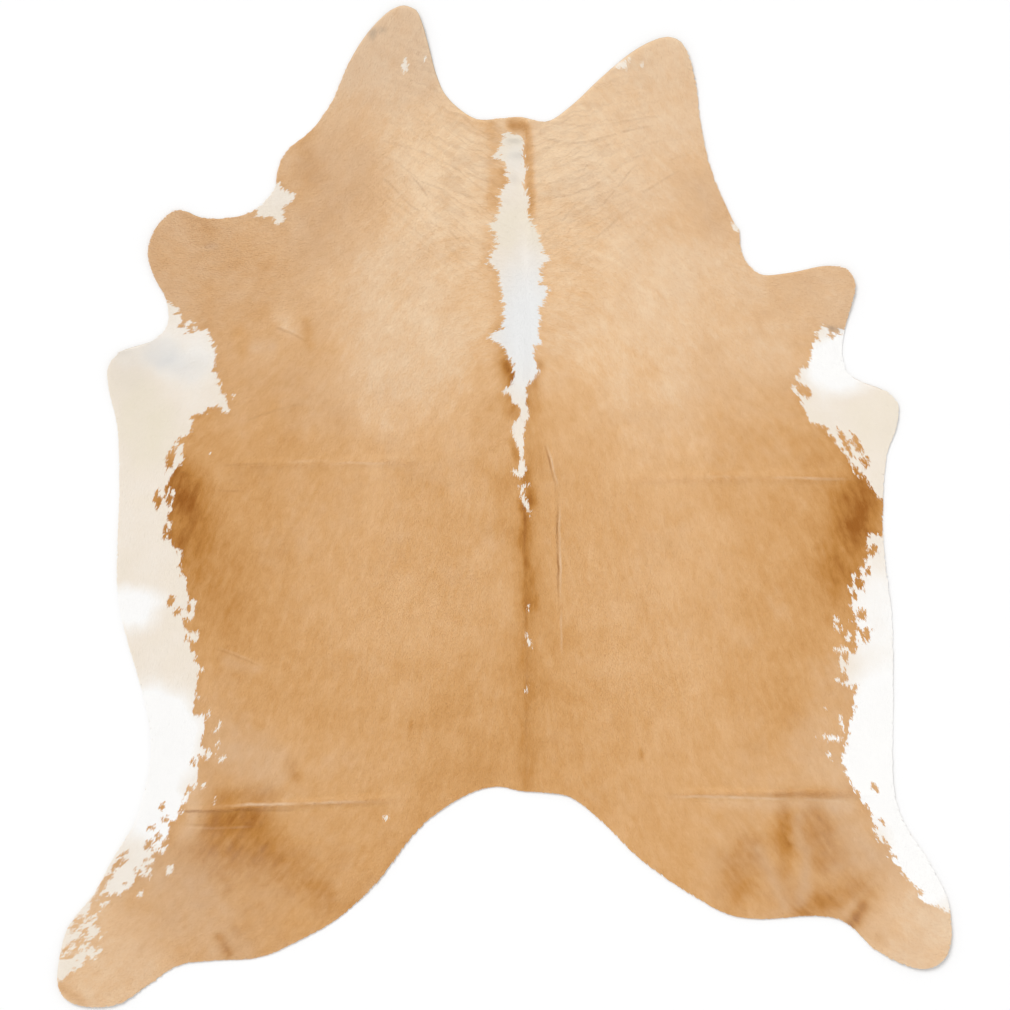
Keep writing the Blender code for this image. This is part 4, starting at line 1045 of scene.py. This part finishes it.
# Uneven grain for skin and raw leather: coarse cells over fine noise.
def grainGroup():
    group, given, out = newGroup(
        "skinGrain",
        [("Vector", "Vector"), ("Scale", "Float", 400.0)],
        [("Value", "Float"), ("Height", "Float")],
    )
    vector, scale = given["Vector"], given["Scale"]
    fine = noise(group, vector, scale, groupNumbers["grainDetail"], groupNumbers["grainRoughness"])
    coarseScale = maths(group, "MULTIPLY", scale, groupNumbers["coarseScale"])
    coarse = noise(group, vector, coarseScale, groupNumbers["coarseDetail"])
    fineShare, coarseShare = groupNumbers["grainShares"]
    value = maths(group, "ADD", maths(group, "MULTIPLY", fine, fineShare),
                  maths(group, "MULTIPLY", coarse, coarseShare))
    group.links.new(value, out["Value"])
    group.links.new(fine, out["Height"])
    return group


hairTint, hairStrands, neckWrinkles = tintGroup(), strandGroup(), wrinkleGroup()
creaseLines, skinGrain = creaseGroup(), grainGroup()

coatLook = {
    "strandsAcross": 5.0, "strandsAlong": 1.0,  # noise cells over a lock
    "streakSpread": 0.12,
    # painted shade in the neck's wrinkle valleys
    "wrinkleShade": 0.12,  # how dark a wrinkle's valley is
    # painted shadow and painted highlight along the creases
    "creasePaintedShadow": 0.45, "creasePaintedHighlight": 0.45,
    "shadeOnTan": 0.8, "shadeAnywhere": 0.2,  # share of that shade, more of it on tan hair
    "creaseHeight": 3.2,
    "bumpHeight": 0.12 * mm, "bump": 0.35,
    "roughness": (0.55, 0.75),
    "sockets": {"Specular IOR Level": 0.22, "Sheen Weight": 0.04, "Sheen Roughness": 0.5},
}

underLook = {
    # painted shade in the gaps between the locks
    "darken": 0.05,
    "grain": 900.0,
    "bumpHeight": 0.2 * mm, "bump": 1.0,
    "roughness": (0.70, 0.85),
    "sockets": {"Specular IOR Level": 0.2},
}

fleshLook = {
    "pale": (214, 203, 184),
    "dark": (186, 170, 146),
    "grain": 500.0,
    "bumpHeight": 0.3 * mm, "bump": 1.0,
    "roughness": (0.86, 0.97),
    "sockets": {"Specular IOR Level": 0.2},
}

cutLook = {
    "pale": (206, 188, 160),
    "dark": (160, 136, 104),
    "grain": 1600.0,
    "bumpHeight": 0.15 * mm, "bump": 1.0,
    "roughness": (0.80, 0.92),
    "sockets": {"Specular IOR Level": 0.2},
}


def newMaterial(name):
    material = bpy.data.materials.new(name)
    material.use_nodes = True
    tree = material.node_tree
    return material, tree, tree.nodes["Principled BSDF"]


def placed(tree, group, inputs):
    return addNode(tree, "ShaderNodeGroup", inputs, node_tree=group).outputs


def grained(tree, scale):
    place = addNode(tree, "ShaderNodeTexCoord").outputs["Object"]
    return placed(tree, skinGrain, {"Vector": place, "Scale": scale})


# How each material ends: its colour, a roughness that follows the grain, a bump and its plain numbers.
def finishShader(tree, shader, look, color, grain, height):
    bump = {"Height": height, "Distance": look["bumpHeight"], "Strength": look["bump"]}
    tree.links.new(color, shader.inputs["Base Color"])
    tree.links.new(mapRange(tree, grain, *look["roughness"]), shader.inputs["Roughness"])
    tree.links.new(addNode(tree, "ShaderNodeBump", bump).outputs["Normal"], shader.inputs["Normal"])
    for name, value in look["sockets"].items():
        shader.inputs[name].default_value = value


# What the hair and the skin under it share: the tint, shaded in the wrinkles and along the creases.
def coatColor(tree, streak, darken):
    tint = placed(tree, hairTint, {"Coat": named(tree, "coat"), "Cast": named(tree, "cast"), "Streak": streak,
                                   "Spread": coatLook["streakSpread"]})
    wrinkles = placed(tree, neckWrinkles, {"Wrinkle": named(tree, "wrinkle")})
    creases = placed(tree, creaseLines, {"Crease": named(tree, "crease")})
    # painted shade: wrinkle valleys, crease shadows and the gaps between locks darken the tint; crease tops
    # get a painted highlight
    valley = maths(tree, "MULTIPLY_ADD", wrinkles["Valley"], coatLook["wrinkleShade"], darken)
    shaded = maths(tree, "MULTIPLY_ADD", creases["Dark"], coatLook["creasePaintedShadow"], valley)
    share = maths(tree, "MULTIPLY_ADD", tint["Tan"], coatLook["shadeOnTan"], coatLook["shadeAnywhere"])
    dark = maths(tree, "MULTIPLY", shaded, share, clamp=True)
    color = mixColors(tree, dark, tint["Color"], linear(*coatColors["deep"]))
    pale = maths(tree, "MULTIPLY", creases["Pale"], coatLook["creasePaintedHighlight"], clamp=True)
    color = mixColors(tree, pale, color, linear(*coatColors["pale"]))
    height = maths(tree, "MULTIPLY_ADD", creases["Height"], coatLook["creaseHeight"], wrinkles["Height"])
    return color, height


# Short flat hair: tinted by its attributes, streaked along each lock, creased on the neck, faintly glossy.
def shortHair():
    material, tree, shader = newMaterial("shortHair")
    strands = placed(tree, hairStrands, {"Strand": named(tree, "strand"), "Across": coatLook["strandsAcross"],
                                         "Along": coatLook["strandsAlong"]})
    color, height = coatColor(tree, strands["Streak"], 0.0)
    height = maths(tree, "ADD", strands["Height"], height)
    finishShader(tree, shader, coatLook, color, strands["Streak"], height)
    return material


# The skin seen between the locks: the hair's own tint in a little painted shade, with a fine uneven grain.
def underHair():
    material, tree, shader = newMaterial("underHair")
    grain = grained(tree, underLook["grain"])
    color, height = coatColor(tree, grain["Value"], underLook["darken"])
    height = maths(tree, "ADD", grain["Height"], height)
    finishShader(tree, shader, underLook, color, grain["Value"], height)
    return material


# Raw leather, for the flesh side and the cut edge: two shades and a bump from one grain.
def rawLeather(name, look):
    material, tree, shader = newMaterial(name)
    grain = grained(tree, look["grain"])
    color = mixColors(tree, grain["Value"], linear(*look["dark"]), linear(*look["pale"]))
    finishShader(tree, shader, look, color, grain["Value"], grain["Height"])
    return material


coatMaterial = shortHair()
skinMaterials = [underHair(), rawLeather("fleshSide", fleshLook), rawLeather("cutEdge", cutLook)]
print("materials made")


# The skin: a sheet on a square grid, its rim points moved onto the outline, closed by the flesh side below
# and a slightly bulging cut edge.
hideSkin = {
    "gridStep": 10 * mm,
    "inset": 1.5 * mm,  # the coat stands this far past the skin
    "snap": 0.35,  # grid points nearer the outline than this share of a step are moved onto it
    "bulge": 0.5 * mm,
    "moves": 3, "leastSlope": 0.5,  # how rim points are brought onto the outline
    "whiteRamp": 4 * mm,  # over what width its tint turns from tan to white
}


# Moves points along the slope of the depth field until their depth is the inset: p - (d - inset) grad d.
def ontoOutline(x, y, inset):
    small = fieldGrid["step"]
    for _ in range(hideSkin["moves"]):
        slopeX = (valueAt(edgeDepth, x + small, y) - valueAt(edgeDepth, x - small, y)) / (2 * small)
        slopeY = (valueAt(edgeDepth, x, y + small) - valueAt(edgeDepth, x, y - small)) / (2 * small)
        steep = np.maximum(np.hypot(slopeX, slopeY), hideSkin["leastSlope"]) ** 2
        off = (valueAt(edgeDepth, x, y) - inset) / steep
        x, y = x - off * slopeX, y - off * slopeY
    return x, y


# Top (x, y, flesh + leather), bottom (x, y, flesh) and half way between them a row pushed out by the bulge.
# The share of white is white depth / ramp + 0.5, held between 0 and 1.
def buildSkin():
    step, inset = hideSkin["gridStep"], hideSkin["inset"]
    x, y = np.meshgrid(np.arange(cadLow.x - step, cadHigh.x + step, step),
                       np.arange(cadLow.y - step, cadHigh.y + step, step))
    depth = valueAt(edgeDepth, x, y) - inset
    number = np.arange(x.size).reshape(x.shape)
    corners = [number[:-1, :-1], number[:-1, 1:], number[1:, 1:], number[1:, :-1]]
    quads = np.stack(corners, axis=-1).reshape(-1, 4)
    within = depth.ravel() > hideSkin["snap"] * step
    quads = quads[within[quads].any(axis=1)]
    used, quads = np.unique(quads, return_inverse=True)
    quads = quads.reshape(-1, 4)
    x, y, within = x.ravel()[used], y.ravel()[used], within[used]
    rimX, rimY = ontoOutline(x, y, inset)
    x, y = np.where(within, x, rimX), np.where(within, y, rimY)
    edges = np.stack([quads, np.roll(quads, -1, axis=1)], axis=-1).reshape(-1, 2)
    _, first, count = np.unique(np.sort(edges, axis=1), axis=0, return_index=True, return_counts=True)
    rim = edges[first[count == 1]]
    rimPoints = np.unique(rim)
    place = np.zeros(len(x), int)
    place[rimPoints] = np.arange(len(rimPoints))
    outX, outY = ontoOutline(x[rimPoints], y[rimPoints], inset - hideSkin["bulge"])
    bottom = valueAt(fleshZ, x, y)
    top = valueAt(leatherZ, x, y)
    count = len(x)
    points = np.concatenate([
        np.column_stack([x, y, top]),
        np.column_stack([x, y, bottom]),
        np.column_stack([outX, outY, (top + bottom)[rimPoints] / 2]),
    ])
    middle = 2 * count + place
    a, b = rim.T
    upper = np.column_stack([a, middle[a], middle[b], b])
    lower = np.column_stack([middle[a], a + count, b + count, middle[b]])
    faces = np.concatenate([quads, quads[:, ::-1] + count, upper, lower])
    slots = np.repeat([0, 1, 2], [len(quads), len(quads), 2 * len(rim)])
    piece = meshPiece("hideSkin", points, faces, skinMaterials, slots)
    x, y = points[:, 0], points[:, 1]
    white = np.clip(valueAt(whiteField, x, y) / hideSkin["whiteRamp"] + 0.5, 0.0, 1.0)
    paint(piece.data, x, y, white, 0.0, creaseAt(x, y, x, y))
    return piece


skinPiece = buildSkin()
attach(skinPiece, "root")
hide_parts("hide")
print("skin:", len(skinPiece.data.polygons), "faces")


# The coat: flat locks of hair, each a slim kite from a root in the skin to a raised tip.
coatLocks = {
    "spacing": 2.66 * mm,
    "length": 12.0 * mm, "lengthSpread": 0.22,
    "whiteLonger": 1.15,  # white hair, most of it on the belly, is longer
    "width": 2.7 * mm, "widthSpread": 0.2,
    "whiteWider": 1.25,
    "widest": 0.42,  # share of the length where a lock is widest
    "headingSpread": 6.5,  # degrees
    "bend": 7.0,  # degrees
    "mostBent": 1.5,  # times the bend; bent further, a lock would fold over
    "rootSunk": 0.15 * mm,
    "sideRise": 0.2 * mm,
    "sideShare": 0.3,  # how much of the tip's rise the sides share
    "lean": 0.3,  # share of the sides' rise by which one lies higher than the other
    "tipRise": 0.65 * mm, "tipSpread": 0.3 * mm,
    "whiteFlatter": 0.65,
    "seenAt": 0.78,  # share of the length whose place decides a lock's colour
    "clear": 1.2 * mm,  # no root nearer the outline
    "overhang": 1.5 * mm,  # how far tips may reach past the outline
    "trims": 3, "shortest": 0.3,  # locks that reach further are cut, to this share of the length at most
    "toneSpread": 0.030,
    "mixed": 1.5 * mm,  # how far single locks of the other colour stand across a boundary
    "tickedMix": 0.3,  # how much of the ticking depth is added to that
    "seed": 5,
    "strandStep": 450,  # keeps the strands of neighbouring locks apart
    "map": (0.005, 0.99),  # where a piece's map begins and how wide it is
    "fewest": 500,  # a part with fewer locks makes no piece
    "rows": {
        "Neck": (62, 120), "Shoulder": (22, 62), "Rib": (-16, 22), "Loin": (-52, -16), "Leg": (-120, -52),
    },
    "columns": {
        "LeftSide": (-110, -42), "LeftBack": (-42, 4.5), "RightBack": (4.5, 50), "RightSide": (50, 110),
    },
}


# What something measures on white hair: 1 + (factor - 1) white.
def onWhite(factor, white):
    return 1.0 + (factor - 1.0) * white


# All locks at once: root p, sides p + k L d +- W n / 2, tip p + L e, with d the hair's direction, e the same
# turned by the bend, n across it, k the widest share, L the length and W the width. Over the skin, the root
# is sunk, the tip has its rise, and the sides their own rise plus a share of the tip's, less or plus a lean.
def growLocks():
    random = np.random.default_rng(coatLocks["seed"])
    spacing = coatLocks["spacing"]
    x, y = np.meshgrid(np.arange(cadLow.x, cadHigh.x, spacing), np.arange(cadLow.y, cadHigh.y, spacing))
    x = (x + random.uniform(-0.5, 0.5, x.shape) * spacing).ravel()
    y = (y + random.uniform(-0.5, 0.5, y.shape) * spacing).ravel()
    kept = valueAt(edgeDepth, x, y) > coatLocks["clear"]
    x, y = x[kept], y[kept]
    count = len(x)
    own = random.uniform(-1.0, 1.0, count)
    ticked = random.normal(0.0, 1.0, count)
    longer = 1.0 + coatLocks["lengthSpread"] * random.uniform(-1, 1, count)
    wider = 1.0 + coatLocks["widthSpread"] * random.uniform(-1, 1, count)
    heading = np.arctan2(valueAt(hairY, x, y), valueAt(hairX, x, y))
    heading += np.radians(coatLocks["headingSpread"]) * random.normal(0.0, 1.0, count)
    bent = np.clip(random.normal(0.0, 1.0, count), -coatLocks["mostBent"], coatLocks["mostBent"])
    turned = heading + np.radians(coatLocks["bend"]) * bent
    seen = coatLocks["seenAt"] * coatLocks["length"]
    seenX, seenY = x + seen * np.cos(heading), y + seen * np.sin(heading)
    depth = valueAt(whiteField, seenX, seenY)
    depth += ticked * (coatLocks["mixed"] + coatLocks["tickedMix"] * valueAt(tickingField, x, y))
    white = (depth > 0).astype(float)
    length = coatLocks["length"] * longer * onWhite(coatLocks["whiteLonger"], white)
    width = coatLocks["width"] * wider * onWhite(coatLocks["whiteWider"], white)
    shortest = coatLocks["shortest"] * coatLocks["length"]
    for _ in range(coatLocks["trims"]):
        tipDepth = valueAt(edgeDepth, x + length * np.cos(turned), y + length * np.sin(turned))
        length = np.maximum(length - np.maximum(-tipDepth - coatLocks["overhang"], 0.0), shortest)
    k = coatLocks["widest"] * length
    middleX, middleY = x + k * np.cos(heading), y + k * np.sin(heading)
    asideX, asideY = -np.sin(heading) * width / 2, np.cos(heading) * width / 2
    allX = np.stack([x, middleX - asideX, x + length * np.cos(turned), middleX + asideX], axis=1)
    allY = np.stack([y, middleY - asideY, y + length * np.sin(turned), middleY + asideY], axis=1)
    flatter = onWhite(coatLocks["whiteFlatter"], white)
    rise = (coatLocks["tipRise"] + coatLocks["tipSpread"] * random.uniform(-1, 1, count)) * flatter
    lean = coatLocks["lean"] * random.uniform(-1, 1, count) * coatLocks["sideRise"]
    side = coatLocks["sideRise"] + coatLocks["sideShare"] * rise
    above = np.stack([np.full(count, -coatLocks["rootSunk"]), side - lean, rise, side + lean], axis=1)
    allZ = valueAt(leatherZ, allX, allY) + above
    return x, y, np.stack([allX, allY, allZ], axis=-1), white, own


# One piece of the coat: the locks whose roots lie in one part of the hide. Its map is its plan, fitted to the
# map's square: start + width (p - low) / size.
def coatPiece(name, corners, white, own):
    points = corners.reshape(-1, 3)
    count = len(corners)
    first = 4 * np.arange(count)[:, None]
    faces = (first[:, :, None] + np.array([(0, 1, 2), (0, 2, 3)])).reshape(-1, 3)
    low, size = points[:, :2].min(axis=0), np.ptp(points[:, :2], axis=0)
    mapFrom, mapSize = coatLocks["map"]
    bakeMap = mapFrom + mapSize * (points[:, :2] - low) / size
    piece = meshPiece(name, points, faces, [coatMaterial], bakeMap=bakeMap)
    x, y = corners[..., 0], corners[..., 1]
    middle = np.repeat(corners[..., :2].mean(axis=1)[:, None], 4, axis=1)
    crease = creaseAt(x.ravel(), y.ravel(), middle[..., 0].ravel(), middle[..., 1].ravel())
    lighter = np.repeat(own, 4) * coatLocks["toneSpread"]
    paint(piece.data, points[:, 0], points[:, 1], np.repeat(white, 4), lighter, crease)
    across = np.tile((0, -1, 0, 1), count)
    along = np.tile((0, coatLocks["widest"], 1, coatLocks["widest"]), count)
    number = np.repeat(own * coatLocks["strandStep"], 4)
    addVectors(piece.data, "strand", np.column_stack([across, along, number]))
    return piece


rootX, rootY, lockCorners, lockWhite, lockOwn = growLocks()
for rowName, (rowLow, rowHigh) in coatLocks["rows"].items():
    for columnName, (columnLow, columnHigh) in coatLocks["columns"].items():
        inRow = (rootY >= rowLow * cm) & (rootY < rowHigh * cm)
        kept = inRow & (rootX >= columnLow * cm) & (rootX < columnHigh * cm)
        if kept.sum() > coatLocks["fewest"]:
            name = "coat" + rowName + columnName
            piece = coatPiece(name, lockCorners[kept], lockWhite[kept], lockOwn[kept])
            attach(piece, "root")
            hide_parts("hide")


# Floor, light and camera.
studio = {
    "floorSize": 200.0,
    "floor": (252, 252, 252),
    "floorSockets": {"Roughness": 0.9, "Specular IOR Level": 0.1},
    "skyStrength": 0.68,
    "glow": (0.08, 0.30),  # how high the sky's white glow reaches over the floor's end, 1 being overhead
    "lampFrom": (-0.42, 0.62, 0.78),
    "lampSoftness": 32.0,  # degrees
    "lampPower": 1.5,
    "lens": 100.0,
    "frameWidth": 2.2198,  # how much of the floor the picture is wide
    "middle": (0.0011, 0.00165),
}


def buildFloor():
    half = studio["floorSize"] / 2
    points = np.array([(-half, -half, 0.0), (half, -half, 0.0), (half, half, 0.0), (-half, half, 0.0)])
    material, tree, shader = newMaterial("floor")
    shader.inputs["Base Color"].default_value = linear(*studio["floor"])
    for name, value in studio["floorSockets"].items():
        shader.inputs[name].default_value = value
    floor = meshPiece("floor", points, np.array([(0, 1, 2, 3)]), [material])


def buildLight():
    world = bpy.data.worlds.new("studio")
    bpy.context.scene.world = world
    world.use_nodes = True
    world.node_tree.nodes["Background"].inputs["Color"].default_value = (1.0, 1.0, 1.0, 1.0)
    tree = world.node_tree
    up = split(tree, addNode(tree, "ShaderNodeTexCoord").outputs["Generated"])
    low, high = studio["glow"]
    glow = addNode(tree, "ShaderNodeMapRange", {"Value": up["Z"], "From Min": low, "From Max": high,
                                                "To Min": 1.0, "To Max": studio["skyStrength"]})
    tree.links.new(glow.outputs["Result"], tree.nodes["Background"].inputs["Strength"])
    lamp = bpy.data.lights.new("softbox", "SUN")  # a softbox so far off that it lights the whole hide evenly
    lamp.angle = math.radians(studio["lampSoftness"])
    lamp.energy = studio["lampPower"]
    box = bpy.data.objects.new("softbox", lamp)
    bpy.context.scene.collection.objects.link(box)
    box.location = studio["lampFrom"]
    box.rotation_mode = "QUATERNION"
    box.rotation_quaternion = box.location.to_track_quat("Z", "Y")


def buildCamera():
    lens = bpy.data.cameras.new("camera")
    lens.lens = studio["lens"]
    camera = bpy.data.objects.new("camera", lens)
    bpy.context.scene.collection.objects.link(camera)
    height = studio["frameWidth"] * lens.lens / lens.sensor_width
    camera.location = (*studio["middle"], height)
    bpy.context.scene.camera = camera


buildFloor()
buildLight()
buildCamera()
bpy.context.scene.view_settings.view_transform = "Standard"
print("stage, light and camera set")
